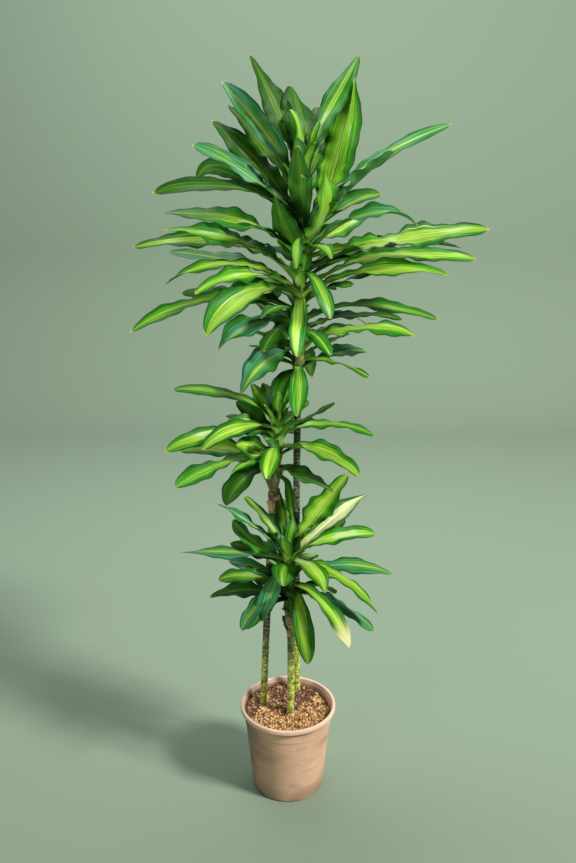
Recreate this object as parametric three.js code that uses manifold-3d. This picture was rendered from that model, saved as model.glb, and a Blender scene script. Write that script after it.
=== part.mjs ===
// A corn plant in its nursery pot: three canes of different heights planted together, each with its own crown
// of strap leaves. Millimetres, +Z up, the origin at the middle of the pot's underside, the front facing -Y.
import * as THREE from "three";
import { mergeVertices } from "three/addons/utils/BufferGeometryUtils.js";
import Module from "manifold-3d";

const wasm = await Module();
wasm.setup();

// ---- driving dimensions ----

const CLEARANCE = 0.3; // between pieces that touch

const POT = {
  height: 227,
  rimRadius: 120, // outside of the rolled lip
  lipDepth: 12,
  lipThickness: 8,
  lipRound: 2.5, // the edges of the lip are taken off by this much
  mouthDepth: 16, // the inside narrows from the lip to the wall over this depth
  neckRadius: 112.5, // the wall just under the lip
  stepHeight: 183, // a faint step runs round the wall here
  stepDepth: 1.2,
  footRadius: 90.7,
  footRound: 6, // radius of the bottom corner
  wall: 3.2,
  floor: 4,
  sides: 32,
};
const DRAIN = { count: 4, radius: 7, ring: 58, sides: 10 };

const SOIL = {
  level: 207, // mean height of the top of the soil
  tiltX: -0.022, // it lies lower on the right
  tiltY: 0.012, // and a little higher at the back
  edgeDip: 8, // its edge lies at most this far under the mean height
  waves: [
    // the relief, as crossed waves: length along x, length along y, phase, height
    [64, 190, 1.3, 1.6],
    [-150, 58, 0.4, 1.3],
    [82, 77, 2.2, 1.1],
    [-44, 96, 4, 0.8],
  ],
  sides: 28,
  rings: 7,
};
const PLANTED = 105; // how deep a cane stands in the soil

// The three stems: the axis runs from foot to head and bows sideways by bow in between. Up to `crown` it is a
// bare ringed cane, above that the leafy shoot.
const STEMS = {
  tall: { foot: [23.5, 83, 205], head: [34, 50, 1580], bow: -7, crown: 1062, tip: 1560, cane: 8.2, shoot: 11 },
  middle: { foot: [-63.5, 26, 205], head: [-20, 20, 1010], bow: -3, crown: 822, tip: 985, cane: 8.4, shoot: 10 },
  low: { foot: [6, -18.5, 205], head: [0, -34, 660], bow: 4, crown: 432, tip: 655, cane: 8.6, shoot: 11.5 },
};
const CANE = { sides: 7, ringPitch: 27, ringSwell: 1.1 };
const SHOOT = {
  sides: 8,
  step: 45,
  tipRadius: 4,
  swollenAt: 0.15, // share of the shoot by which it has swollen from the cane's radius to its own
  taperFrom: 0.55, // and from which it tapers to the growing tip
};

const BLADE = {
  segment: 54, // length that a leaf is divided by
  fewestSegments: 4,
  rib: 1.9, // thickness along the middle
  margin: 0.9, // thickness at the edge
  startPull: 0.36, // how far the rise and the dive hold the curve, as shares of the chord
  endPull: 0.36,
  rootRadius: 4, // how far off the middle of the stem a root starts
  // Widths as shares of the widest, and where they fall as shares of the length.
  clasp: 0.3, // the clasping base
  claspEnd: 0.12,
  waist: 0.4, // the neck above it
  widening: [0.08, 0.62],
  pointStart: 0.56, // the long point
  pointBend: 2.2, // the larger, the later it narrows
  pointPower: 0.6, // 0.5 is a round end and 1 a straight one
  tip: 2.4, // width of the very tip
  twist: [0.1, 0.6], // the roll comes on between these shares of the length
  gutterBase: 38, // degrees each half folds up at the base
  gutterEnd: -9, // and down, once the gutter has opened out
  gutterOpen: 0.55,
  wave: 135, // length of one wave of a margin
  waveHeight: 0.085, // of the width
  waveLead: 0.3, // one margin leads and the other lags by this share of a wave
};

// ---- leaf charts ----
// One row for each leaf that shows from the front: the height of its root on the stem, its heading (0 right, 90 to
// the back, 180 left, 270 to the front), how far out its tip is, how far its tip climbs above the root, the
// slope it rises at, the slope it ends at, its width and how far it rolls over. Angles are in degrees.

const TALL_LEAVES = [
  // the upright sheaf at the top
  [1450, 155, 125, 309, 84, 62, 62, -35],
  [1475, 106, 80, 222, 84, 50, 84, 0],
  [1475, 38, 159, 288, 84, 56, 58, 28],
  [1372, 28, 132, 338, 50, 80, 86, 42],
  [1440, 158, 185, 268, 74, 52, 62, -40],
  [1420, 150, 189, 242, 72, 44, 52, -30],
  [1388, 165, 202, 238, 68, 43, 70, -38],
  [1405, 182, 234, 165, 48, 24, 50, -40],
  [1375, 165, 248, 122, 60, -65, 46, -60],
  [1395, 6, 330, 221, 50, 20, 42, 38],
  [1365, 350, 200, 186, 50, 38, 82, 12],
  [1355, 18, 191, 116, 48, 14, 64, 20],
  [1345, 316, 62, 167, 45, 118, 72, 0],
  [1355, 262, 60, 205, 85, 70, 52, 0],
  // arching to the left
  [1375, 190, 324, 96, 76, -8, 50, -35],
  [1320, 178, 310, 109, 56, 4, 56, -46],
  [1272, 188, 299, 121, 52, 8, 60, -40],
  [1260, 176, 382, 90, 62, -12, 52, -40],
  [1225, 162, 326, 120, 60, 14, 56, -25],
  [1242, 192, 303, 33, 54, -32, 46, -28],
  [1245, 206, 252, 14, 48, -30, 54, -22],
  [1190, 165, 290, 55, 46, -5, 54, -15],
  [1170, 178, 225, 75, 50, -10, 42, -20],
  [1205, 190, 385, -32, 29, -26, 52, -28],
  [1240, 222, 266, -62, 32, -50, 86, -24],
  [1172, 210, 206, -36, 28, -46, 72, -22],
  [1104, 146, 130, 51, 40, 22, 46, 0],
  [1120, 124, 185, 105, 50, 35, 44, 0],
  // standing and hanging to the front
  [1300, 236, 100, 165, 84, 62, 62, 0],
  [1315, 203, 150, 90, 62, 10, 46, -15],
  [1260, 284, 55, 85, 78, 60, 40, 0],
  [1212, 338, 130, 60, 55, 5, 40, 0],
  [1195, 233, 140, 10, 55, -35, 42, 0],
  [1150, 302, 130, -25, 45, -45, 40, 0],
  [1290, 300, 130, -85, 25, -62, 44, 0],
  [1232, 266, 102, -112, 40, -78, 42, 12],
  [1078, 268, 106, -92, 20, -75, 46, 0],
  [1120, 220, 168, -82, 8, -52, 72, -22],
  [1075, 194, 130, 5, 38, -42, 34, 0],
  [1084, 178, 115, 46, 45, 10, 26, 0],
  [1370, 262, 90, -60, 20, -55, 26, 0],
  [1338, 302, 120, -8, 35, -60, 44, 0],
  // arching to the right
  [1320, 350, 407, 79, 20, 12, 66, 40],
  [1285, 356, 357, 69, 38, -5, 46, 20],
  [1272, 25, 330, 60, 36, -2, 50, 20],
  [1250, 6, 410, 77, 40, -5, 54, 30],
  [1235, 345, 334, 65, 38, -6, 60, 32],
  [1300, 30, 217, 64, 26, 14, 44, 20],
  [1305, 332, 275, 92, 66, -40, 58, 25],
  [1331, 22, 175, 99, 50, 30, 54, 30],
  [1222, 24, 95, 33, 50, -30, 26, 0],
  [1175, 0, 322, 17, 40, -14, 50, 25],
  [1150, 20, 270, 32, 40, -8, 42, 15],
  [1135, 42, 160, 32, 30, 5, 36, 8],
  [1125, 345, 267, 44, 34, -12, 58, 22],
  [1072, 30, 195, 31, 25, 0, 50, 20],
  [1090, 335, 177, -22, 20, -30, 32, 0],
  [1100, 46, 188, 40, 18, 12, 22, 0],
  // short and broad, round the stem
  [1225, 350, 172, 78, 40, 20, 50, 0],
  [1180, 225, 115, -50, 20, -60, 62, 0],
  [1072, 232, 78, -66, 10, -75, 50, 0],
];

const MIDDLE_LEAVES = [
  [935, 175, 245, 100, 74, 2, 44, -20],
  [913, 160, 130, 48, 35, -5, 30, 0],
  [930, 190, 262, -26, 10, -20, 50, -36],
  [936, 208, 190, -18, 30, -38, 56, -25],
  [852, 172, 230, 27, 25, -12, 58, -38],
  [852, 195, 240, -33, 32, -34, 58, -18],
  [860, 225, 138, 5, 25, -20, 24, 0],
  [838, 225, 156, -47, 34, -60, 64, -18],
  [890, 258, 100, -40, 35, -65, 44, 0],
  [840, 334, 154, -32, 12, -30, 64, 0],
  [890, 340, 205, -40, 22, -34, 74, 8],
  [928, 18, 144, 68, 30, 30, 38, 0],
  [915, 2, 232, 8, 40, -27, 52, 12],
  [950, 140, 80, 88, 60, 45, 44, 0],
  [950, 110, 100, 82, 60, 35, 46, 0],
  [872, 205, 98, 42, 30, 10, 64, -50],
  [915, 195, 120, 48, 50, 0, 54, -40],
  [905, 160, 100, 95, 65, 40, 52, -30],
  [960, 86, 92, 95, 70, 50, 44, 0],
  [930, 8, 75, 75, 60, 40, 44, 0],
  [836, 318, 58, -104, 0, -78, 28, 0],
];

const LOW_LEAVES = [
  [645, 36, 176, 171, 49, 47, 76, 0],
  [630, 20, 205, 145, 48, 26, 60, 20],
  [628, 8, 210, 64, 48, -6, 50, 25],
  [602, 0, 248, -2, 14, -16, 54, 15],
  [608, 338, 224, -70, 35, -55, 54, 0],
  [625, 308, 135, -22, 42, -55, 58, 0],
  [568, 315, 190, -88, 25, -55, 52, 0],
  [549, 343, 208, -69, 4, -42, 54, 0],
  [555, 292, 114, -137, 20, -75, 50, 0],
  [602, 240, 124, -72, 35, -65, 50, 0],
  [555, 230, 170, -35, 30, -45, 52, 0],
  [528, 212, 128, -38, 20, -40, 46, 0],
  [634, 178, 256, 21, 11, 2, 44, -15],
  [602, 160, 142, 115, 50, 50, 62, -10],
  [598, 164, 148, 62, 35, 10, 44, 0],
  [640, 164, 174, 118, 50, 25, 42, 0],
  [650, 150, 120, 124, 60, 45, 34, 0],
  [555, 168, 150, 64, 40, 10, 44, -15],
  [549, 190, 172, 50, 40, -15, 62, -20],
  [533, 185, 192, 11, 25, -15, 56, -10],
  [646, 76, 50, 78, 75, 60, 28, 0],
  [621, 262, 90, -10, 35, -45, 62, 0],
  [630, 106, 130, 162, 60, 45, 24, 0],
  [612, 56, 125, 44, 35, 0, 34, 0],
];

// Leaves on the side that the front view hides, from the lowest to the highest: each takes the next of the headings
// that its neighbours' canes leave free, its reach, climb and slopes follow its height, and a seeded draw varies them.
const BACK_LEAVES = {
  tall: {
    headings: [80, 118, 98, 40, 108, 144, 72, 128, 62, 96, 122, 82, 66, 76],
    heights: [1082, 1470],
    reach: [250, 150],
    climb: [-60, 175],
    rise: [35, 78],
    dive: [-45, 45],
    seed: 7,
  },
  middle: {
    headings: [98, 138, 76, 128, 108, 84],
    heights: [845, 955],
    reach: [190, 160],
    climb: [-50, 90],
    rise: [30, 65],
    dive: [-50, 30],
    seed: 21,
  },
  low: {
    headings: [48, 110, 64, 102, 34, 96],
    heights: [535, 640],
    reach: [190, 150],
    climb: [-60, 110],
    rise: [25, 65],
    dive: [-50, 35],
    seed: 33,
  },
};
const BACK = { width: [38, 48], draw: 0.14 };
const GOLDEN = 0.618034; // how far the waves of one leaf are shifted from those of the last, in wave lengths
const CHARTS = { tall: TALL_LEAVES, middle: MIDDLE_LEAVES, low: LOW_LEAVES };

// ---- small helpers ----

const rad = THREE.MathUtils.degToRad;
const mix = THREE.MathUtils.lerp;
const ease = THREE.MathUtils.smoothstep;
const clamp01 = (v) => THREE.MathUtils.clamp(v, 0, 1);

// A seeded draw: each call gives the next number from 0 to 1.
function draws(seed) {
  let state = seed;
  return () => {
    state = (Math.imul(state, 1664525) + 1013904223) >>> 0;
    return state / 2 ** 32;
  };
}

// A solid from a grid of rings: each ring has the same number of points and goes round anticlockwise seen from
// beyond the last ring. The first and the last ring are closed by a fan from their middle, or by `cap`.
function loft(rings, cap) {
  const size = rings[0].length;
  const points = rings.flat();
  const faces = [];
  for (let i = 0; i + 1 < rings.length; i++)
    for (let j = 0; j < size; j++) {
      const a = i * size + j;
      const b = i * size + ((j + 1) % size);
      // The under face of a blade is split along the same diagonals as its upper face, so the two never cross.
      if (cap && j >= size / 2) faces.push(a, b, a + size, b, b + size, a + size);
      else faces.push(a, b, b + size, a, b + size, a + size);
    }
  const last = (rings.length - 1) * size;
  if (cap) {
    for (const [a, b, c] of cap) faces.push(a, c, b, last + a, last + b, last + c);
  } else {
    const ends = [rings[0], rings[rings.length - 1]].map((ring) =>
      ring.reduce((sum, p) => sum.add(p), new THREE.Vector3()).divideScalar(size),
    );
    const first = points.push(ends[0]) - 1;
    const final = points.push(ends[1]) - 1;
    for (let j = 0; j < size; j++) {
      const next = (j + 1) % size;
      faces.push(first, next, j, final, last + j, last + next);
    }
  }
  const geometry = new THREE.BufferGeometry().setFromPoints(points);
  geometry.setIndex(faces);
  return geometry;
}

function solid(geometry) {
  const bare = geometry.clone();
  bare.deleteAttribute("normal");
  bare.deleteAttribute("uv");
  const merged = mergeVertices(bare, 1e-3);
  return new wasm.Manifold(
    new wasm.Mesh({
      numProp: 3,
      vertProperties: merged.attributes.position.array,
      triVerts: new Uint32Array(merged.index.array),
    }),
  );
}

function fromSolid(body) {
  const mesh = body.getMesh();
  const geometry = new THREE.BufferGeometry();
  geometry.setAttribute("position", new THREE.BufferAttribute(mesh.vertProperties, mesh.numProp));
  geometry.setIndex(new THREE.BufferAttribute(mesh.triVerts, 1));
  return geometry;
}

// The outer skin of joined leaves. Where several cross they can shut in a small hollow, which is a skin of its own
// with its faces turned inwards: the hollows are filled by keeping only the skin that holds the most.
function outerSkin(geometry) {
  const position = geometry.getAttribute("position");
  const index = geometry.index.array;
  const leader = Array.from({ length: position.count }, (_, i) => i);
  const find = (i) => {
    while (leader[i] !== i) {
      leader[i] = leader[leader[i]];
      i = leader[i];
    }
    return i;
  };
  for (let i = 0; i < index.length; i += 3) {
    leader[find(index[i])] = find(index[i + 1]);
    leader[find(index[i + 1])] = find(index[i + 2]);
  }
  const corner = [new THREE.Vector3(), new THREE.Vector3(), new THREE.Vector3()];
  const volumes = new Map();
  for (let i = 0; i < index.length; i += 3) {
    corner.forEach((p, k) => p.fromBufferAttribute(position, index[i + k]));
    const share = corner[0].dot(corner[1].clone().cross(corner[2])) / 6;
    const skin = find(index[i]);
    volumes.set(skin, (volumes.get(skin) ?? 0) + share);
  }
  const [largest] = [...volumes].reduce((best, entry) => (entry[1] > best[1] ? entry : best));
  const kept = [];
  for (let i = 0; i < index.length; i += 3)
    if (find(index[i]) === largest) kept.push(index[i], index[i + 1], index[i + 2]);
  const skin = geometry.clone();
  skin.setIndex(kept);
  return mergeVertices(skin.toNonIndexed(), 1e-4);
}

// ---- pot and soil ----

// The outside radius of the wall at a height, without the lip.
function wallRadius(z) {
  const taper = (POT.neckRadius - POT.footRadius) / (POT.height - POT.lipDepth);
  const step = z < POT.stepHeight ? POT.stepDepth : 0;
  return POT.footRadius + taper * z - step;
}

// The inside radius, a straight cone from the floor to the mouth.
function innerRadius(z) {
  const mouth = POT.height - POT.mouthDepth;
  const t = (z - POT.floor) / (mouth - POT.floor);
  return mix(wallRadius(POT.floor), wallRadius(mouth), t) - POT.wall;
}

function potGeometry() {
  const lipBottom = POT.height - POT.lipDepth;
  const lipInside = POT.rimRadius - POT.lipThickness;
  const mouth = POT.height - POT.mouthDepth;
  const foot = [0, 45, 90].map((turn) => [
    wallRadius(POT.footRound) - POT.footRound * (1 - Math.sin(rad(turn))),
    POT.footRound * (1 - Math.cos(rad(turn))),
  ]);
  const profile = [
    [0, 0],
    ...foot,
    [wallRadius(POT.stepHeight - 1), POT.stepHeight - 1],
    [wallRadius(POT.stepHeight + 1), POT.stepHeight + 1],
    [wallRadius(lipBottom), lipBottom],
    [POT.rimRadius - POT.lipRound, lipBottom],
    [POT.rimRadius, lipBottom + POT.lipRound],
    [POT.rimRadius, POT.height - POT.lipRound],
    [POT.rimRadius - POT.lipRound, POT.height],
    [lipInside + POT.lipRound, POT.height],
    [lipInside, POT.height - POT.lipRound],
    [innerRadius(mouth), mouth],
    [innerRadius(POT.floor), POT.floor],
    [0, POT.floor],
  ].map(([r, z]) => new THREE.Vector2(r, z));
  const bowl = new THREE.LatheGeometry(profile, POT.sides).rotateX(Math.PI / 2);
  let body = solid(bowl);
  for (let i = 0; i < DRAIN.count; i++) {
    const turn = (2 * Math.PI * (i + 0.5)) / DRAIN.count;
    const hole = new THREE.CylinderGeometry(DRAIN.radius, DRAIN.radius, 4 * POT.floor, DRAIN.sides)
      .rotateX(Math.PI / 2)
      .translate(DRAIN.ring * Math.cos(turn), DRAIN.ring * Math.sin(turn), 0);
    body = body.subtract(solid(hole));
  }
  return fromSolid(body);
}

// Height of the soil: a gentle tilt, with the lumps and hollows of the crossed waves.
function soilHeight(x, y) {
  let height = SOIL.level + SOIL.tiltX * x + SOIL.tiltY * y;
  for (const [alongX, alongY, phase, swell] of SOIL.waves)
    height += swell * Math.sin(2 * Math.PI * (x / alongX + y / alongY) + phase);
  return height;
}

function soilGeometry() {
  // The pot's wall is nearest the middle along the flats between its corners.
  const snug = (z) => innerRadius(z) * Math.cos(Math.PI / POT.sides) - CLEARANCE;
  const bottom = POT.floor + CLEARANCE;
  const ringAt = (radius, height) =>
    Array.from({ length: SOIL.sides }, (_, j) => {
      const turn = (2 * Math.PI * j) / SOIL.sides;
      const x = radius * Math.cos(turn);
      const y = radius * Math.sin(turn);
      return new THREE.Vector3(x, y, height(x, y));
    });
  // The bottom and the side, then the top from its edge to its middle.
  const edge = snug(SOIL.level - SOIL.edgeDip);
  const rings = [ringAt(snug(bottom), () => bottom), ringAt(edge, soilHeight)];
  for (let i = SOIL.rings - 1; i > 0; i--) rings.push(ringAt((edge * i) / SOIL.rings, soilHeight));
  let body = solid(loft(rings));
  for (const stem of Object.values(STEMS)) body = body.subtract(solid(caneHole(stem)));
  return fromSolid(body);
}

// ---- stems ----

function stemPoint(stem, z) {
  const [x0, y0, z0] = stem.foot;
  const [x1, y1, z1] = stem.head;
  const t = (z - z0) / (z1 - z0);
  const bow = stem.bow * Math.sin(Math.PI * clamp01(t));
  return new THREE.Vector3(mix(x0, x1, t) + bow, mix(y0, y1, t), z);
}

function stemRing(stem, z, radius, sides) {
  const middle = stemPoint(stem, z);
  return Array.from({ length: sides }, (_, j) => {
    const turn = (2 * Math.PI * j) / sides;
    return new THREE.Vector3(radius * Math.cos(turn), radius * Math.sin(turn), 0).add(middle);
  });
}

// The plain hole that a cane stands in, a little wider and deeper than the cane.
function caneHole(stem) {
  const bottom = stem.foot[2] - PLANTED - CLEARANCE;
  const radius = (stem.cane + CANE.ringSwell + CLEARANCE) / Math.cos(Math.PI / CANE.sides);
  return loft([bottom, stem.foot[2], POT.height].map((z) => stemRing(stem, z, radius, CANE.sides)));
}

// A bare cane, swollen at the ring that each fallen leaf has left.
function caneGeometry(stem) {
  const rings = [stemRing(stem, stem.foot[2] - PLANTED, stem.cane, CANE.sides)];
  for (let z = stem.foot[2]; z < stem.crown - CANE.ringPitch; z += CANE.ringPitch) {
    rings.push(stemRing(stem, z, stem.cane, CANE.sides));
    rings.push(stemRing(stem, z + CANE.ringPitch / 2, stem.cane + CANE.ringSwell, CANE.sides));
  }
  rings.push(stemRing(stem, stem.crown - CLEARANCE, stem.cane, CANE.sides));
  return loft(rings);
}

// The leafy shoot's own stalk, wrapped in leaf bases, from the top of the cane to the growing tip.
function shootGeometry(stem) {
  const steps = Math.max(3, Math.round((stem.tip - stem.crown) / SHOOT.step));
  const rings = [];
  for (let i = 0; i <= steps; i++) {
    const t = i / steps;
    const swell = mix(stem.cane, stem.shoot, ease(t, 0, SHOOT.swollenAt));
    const radius = mix(swell, SHOOT.tipRadius, ease(t, SHOOT.taperFrom, 1));
    rings.push(stemRing(stem, mix(stem.crown, stem.tip, t), radius, SHOOT.sides));
  }
  return loft(rings);
}

// ---- leaves ----

// Width of a blade at t, 0 at the root and 1 at the tip: a clasping base, a neck, the widest part just past the
// middle, and a long point.
function bladeWidth(t, wide) {
  const body = mix(BLADE.waist, 1, ease(t, ...BLADE.widening));
  const base = (BLADE.clasp - BLADE.waist) * (1 - ease(t, 0, BLADE.claspEnd));
  const pointed = clamp01((t - BLADE.pointStart) / (1 - BLADE.pointStart));
  const point = (1 - pointed ** BLADE.pointBend) ** BLADE.pointPower;
  return Math.max((body + base) * point * wide, BLADE.tip);
}

// One leaf: its midrib is a cubic curve that leaves the stem at `rise` and reaches the tip at `dive`. Across it lie
// three points, folded up into a gutter at the base and slightly down towards the tip, and each margin waves.
function leafGeometry(stem, row, phase) {
  const [height, heading, reach, climb, rise, dive, wide, roll] = row;
  const out = new THREE.Vector3(Math.cos(rad(heading)), Math.sin(rad(heading)), 0);
  const up = new THREE.Vector3(0, 0, 1);
  const slope = (angle) =>
    out.clone().multiplyScalar(Math.cos(rad(angle))).addScaledVector(up, Math.sin(rad(angle)));
  const chord = Math.hypot(reach, climb);
  const root = stemPoint(stem, height).addScaledVector(out, BLADE.rootRadius);
  const tip = stemPoint(stem, height).addScaledVector(out, reach).addScaledVector(up, climb);
  const rib = new THREE.CubicBezierCurve3(
    root,
    root.clone().addScaledVector(slope(rise), BLADE.startPull * chord),
    tip.clone().addScaledVector(slope(dive), -BLADE.endPull * chord),
    tip,
  );
  const across = new THREE.Vector3(-out.y, out.x, 0);
  const segments = Math.max(BLADE.fewestSegments, Math.round(chord / BLADE.segment));
  const waves = chord / BLADE.wave;
  const rings = [];
  for (let i = 0; i <= segments; i++) {
    const t = i / segments;
    const along = rib.getTangent(t);
    const face = along.clone().cross(across).normalize();
    const turn = rad(roll) * ease(t, ...BLADE.twist);
    const side = face.clone().cross(along).applyAxisAngle(along, turn);
    face.applyAxisAngle(along, turn);
    const fold = rad(mix(BLADE.gutterBase, BLADE.gutterEnd, ease(t, 0, BLADE.gutterOpen)));
    const half = bladeWidth(t, wide) / 2;
    const middle = rib.getPoint(t);
    const edge = (hand) => {
      const wave = Math.sin(2 * Math.PI * (waves * t + phase + BLADE.waveLead * hand)) * Math.sin(Math.PI * t);
      return middle
        .clone()
        .addScaledVector(side, hand * half * Math.cos(fold))
        .addScaledVector(face, half * Math.sin(fold) + BLADE.waveHeight * wide * wave);
    };
    const under = (point, thickness) => point.clone().addScaledVector(face, -thickness);
    const left = edge(1);
    const right = edge(-1);
    rings.push([
      left,
      middle,
      right,
      under(right, BLADE.margin),
      under(middle, BLADE.rib),
      under(left, BLADE.margin),
    ]);
  }
  // The two ends are closed by the strips between the upper and the under face.
  return loft(rings, [
    [0, 1, 4],
    [0, 4, 5],
    [1, 2, 3],
    [1, 3, 4],
  ]);
}

function backLeaves(name) {
  const rule = BACK_LEAVES[name];
  const draw = draws(rule.seed);
  const vary = () => 1 + BACK.draw * (2 * draw() - 1);
  return rule.headings.map((heading, k) => {
    const age = k / (rule.headings.length - 1);
    const at = ([low, high]) => mix(low, high, age);
    return [
      at(rule.heights),
      heading,
      at(rule.reach) * vary(),
      at(rule.climb) * vary(),
      at(rule.rise) * vary(),
      at(rule.dive),
      mix(...BACK.width, draw()),
      0,
    ];
  });
}

// A crown: the shoot with every leaf of its chart and of the rule joined on, their roots at its middle.
function crownGeometry(name, chart) {
  const stem = STEMS[name];
  let body = solid(shootGeometry(stem));
  [...chart, ...backLeaves(name)].forEach((row, i) => {
    const phase = (i * GOLDEN) % 1;
    body = body.add(solid(leafGeometry(stem, row, phase)));
  });
  return outerSkin(fromSolid(body));
}

// ---- the plant ----

const POT_PLASTIC = new THREE.MeshStandardMaterial({ color: 0xc9a585, roughness: 0.62 });
const SOIL_CRUMB = new THREE.MeshStandardMaterial({ color: 0x9a7350, roughness: 0.98 });
const CANE_BARK = new THREE.MeshStandardMaterial({ color: 0x6f7d35, roughness: 0.7 });
const LEAF_GREEN = new THREE.MeshStandardMaterial({ color: 0x4f8f2c, roughness: 0.42 });

function piece(name, geometry, material) {
  const mesh = new THREE.Mesh(geometry, material);
  mesh.name = name;
  return mesh;
}

const plant = new THREE.Group();
plant.add(piece("pot", potGeometry(), POT_PLASTIC));
plant.add(piece("soil", soilGeometry(), SOIL_CRUMB));
for (const [name, stem] of Object.entries(STEMS)) {
  plant.add(piece(`cane_${name}`, caneGeometry(stem), CANE_BARK));
  plant.add(piece(`crown_${name}`, crownGeometry(name, CHARTS[name]), LEAF_GREEN));
}

export default plant;
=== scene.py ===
"""A corn plant in its nursery pot: three canes of different heights, each with a crown of striped leaves.

Every surface is a function of two parameters worked out on a grid with numpy. A leaf is
    P(t, u) = midrib(t) + u * half(t) * side(t) + fold and wave along face(t),
with t running from the root to the tip and u from one margin to the other. Canes and the pot are a radius
that depends on the height and the turn, and the soil is a height that depends on x and y. Lengths are in
millimetres until a mesh is made, and the scene is in metres, +Z up, with the front of the plant facing -Y.
"""

# %% [markdown]
# ## The frame and the camera
# The solids of the plant are already there as a frame: the pot, the soil, three canes and three crowns.
# This script gives each of them its real surface. The camera comes first, because everything is judged
# through it: it stands 1.7 m in front of the plant, level with the middle of the top crown, and looks down
# by 15 degrees.

import math

import bmesh
import bpy
import numpy as np
from mathutils import Matrix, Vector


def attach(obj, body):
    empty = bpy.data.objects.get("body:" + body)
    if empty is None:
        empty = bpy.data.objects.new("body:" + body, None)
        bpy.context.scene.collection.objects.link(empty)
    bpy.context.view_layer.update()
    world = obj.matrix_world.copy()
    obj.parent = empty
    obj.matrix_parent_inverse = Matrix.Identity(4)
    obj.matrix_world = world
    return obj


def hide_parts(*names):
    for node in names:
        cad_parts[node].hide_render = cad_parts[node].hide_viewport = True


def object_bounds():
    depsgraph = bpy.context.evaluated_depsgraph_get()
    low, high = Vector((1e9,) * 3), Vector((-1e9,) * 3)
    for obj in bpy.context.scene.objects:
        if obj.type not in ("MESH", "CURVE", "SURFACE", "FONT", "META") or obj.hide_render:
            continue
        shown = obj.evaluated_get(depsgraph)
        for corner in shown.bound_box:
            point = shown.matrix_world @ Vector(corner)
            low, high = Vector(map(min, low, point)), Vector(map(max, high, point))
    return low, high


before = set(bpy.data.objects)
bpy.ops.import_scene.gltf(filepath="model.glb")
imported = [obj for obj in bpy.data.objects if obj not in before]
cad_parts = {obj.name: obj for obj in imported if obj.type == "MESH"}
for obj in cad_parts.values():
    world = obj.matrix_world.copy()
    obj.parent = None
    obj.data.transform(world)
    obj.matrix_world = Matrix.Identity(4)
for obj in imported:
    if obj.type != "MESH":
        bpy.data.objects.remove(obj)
cad_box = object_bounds()

MM = 0.001  # metres

CAMERA_PLACE = (0.0, -1.711, 1.401)
CAMERA_PITCH = 15.1  # degrees below the horizon
CAMERA_LENS = 32.12
SENSOR_WIDTH = 36
SIGHT_END = 50  # metres

camera = bpy.data.objects.new("camera", bpy.data.cameras.new("camera"))
bpy.context.scene.collection.objects.link(camera)
camera.location = CAMERA_PLACE
camera.rotation_euler = (math.radians(90 - CAMERA_PITCH), 0, 0)
camera.data.sensor_width = SENSOR_WIDTH
camera.data.lens = CAMERA_LENS
camera.data.clip_end = SIGHT_END
bpy.context.scene.camera = camera
bpy.context.scene.view_settings.view_transform = "Standard"
print("camera", CAMERA_PLACE, "lens", CAMERA_LENS)

# %% [markdown]
# ## Small tools for arrays
# `ease` is the smooth step from 0 to 1 that shapes nearly every curve here. `tube` turns a stack of closed
# rings into a mesh: it only has to number the points, so it does that with whole arrays, and it takes along
# any value that belongs to the points, which a material can read later.


# %% Array tools
TINY = 1e-9  # keeps a length that is divided by off zero


def ease(low, high, value):
    """0 below low, 1 above high, and 3s^2 - 2s^3 of the share s in between."""
    share = np.clip((value - low) / (high - low), 0, 1)
    return share * share * (3 - 2 * share)


def mix(a, b, share):
    """a where share is 0 and b where it is 1."""
    return a + (b - a) * share


def unit(vectors):
    """The vectors with their lengths made 1."""
    return vectors / np.maximum(np.linalg.norm(vectors, axis=-1, keepdims=True), TINY)


def ring_faces(rings, around):
    """The corners of each face between neighbouring rings, with a ring's last point joined to its first."""
    here = np.arange(around)
    beside = np.roll(here, -1)
    low = np.arange(rings - 1)[:, None] * around
    high = low + around
    return np.stack([low + here, low + beside, high + beside, high + here], -1).reshape(-1, 4)


def mesh_object(name, points, faces, values=None, uv=None, crease=40):
    """An object from points in millimetres and a list of face arrays. `values` are named numbers or vectors
    for each point, `uv` a pair for each point, and edges sharper than `crease` degrees stay sharp."""
    mesh = bpy.data.meshes.new(name)
    corners = np.concatenate([f.ravel() for f in faces]).astype(np.int32)
    sizes = np.concatenate([np.full(len(f), f.shape[1]) for f in faces])
    starts = np.concatenate([[0], np.cumsum(sizes)[:-1]])
    mesh.vertices.add(len(points))
    mesh.vertices.foreach_set("co", (points * MM).astype(np.float32).ravel())
    mesh.loops.add(len(corners))
    mesh.loops.foreach_set("vertex_index", corners)
    mesh.polygons.add(len(sizes))
    mesh.polygons.foreach_set("loop_start", starts.astype(np.int32))
    mesh.update(calc_edges=True)
    mesh.validate()
    if uv is not None:
        layer = mesh.uv_layers.new(name="uv")
        layer.data.foreach_set("uv", uv[corners].astype(np.float32).ravel())
    for key, array in (values or {}).items():
        kind, field = ("FLOAT", "value") if array.ndim == 1 else ("FLOAT_VECTOR", "vector")
        attribute = mesh.attributes.new(key, kind, "POINT")
        attribute.data.foreach_set(field, array.astype(np.float32).ravel())
    mesh.shade_smooth()
    mesh.set_sharp_from_angle(angle=math.radians(crease))
    made = bpy.data.objects.new(name, mesh)
    bpy.context.scene.collection.objects.link(made)
    print(name, len(points), "points,", int((sizes - 2).sum()), "triangles")
    return made


def fan_cap(start, around, point, flip):
    """Triangles from one ring to a single point that closes it."""
    here = start + np.arange(around)
    beside = start + np.roll(np.arange(around), -1)
    tip = np.full(around, point)
    return np.stack([beside, here, tip] if flip else [here, beside, tip], -1)


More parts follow.
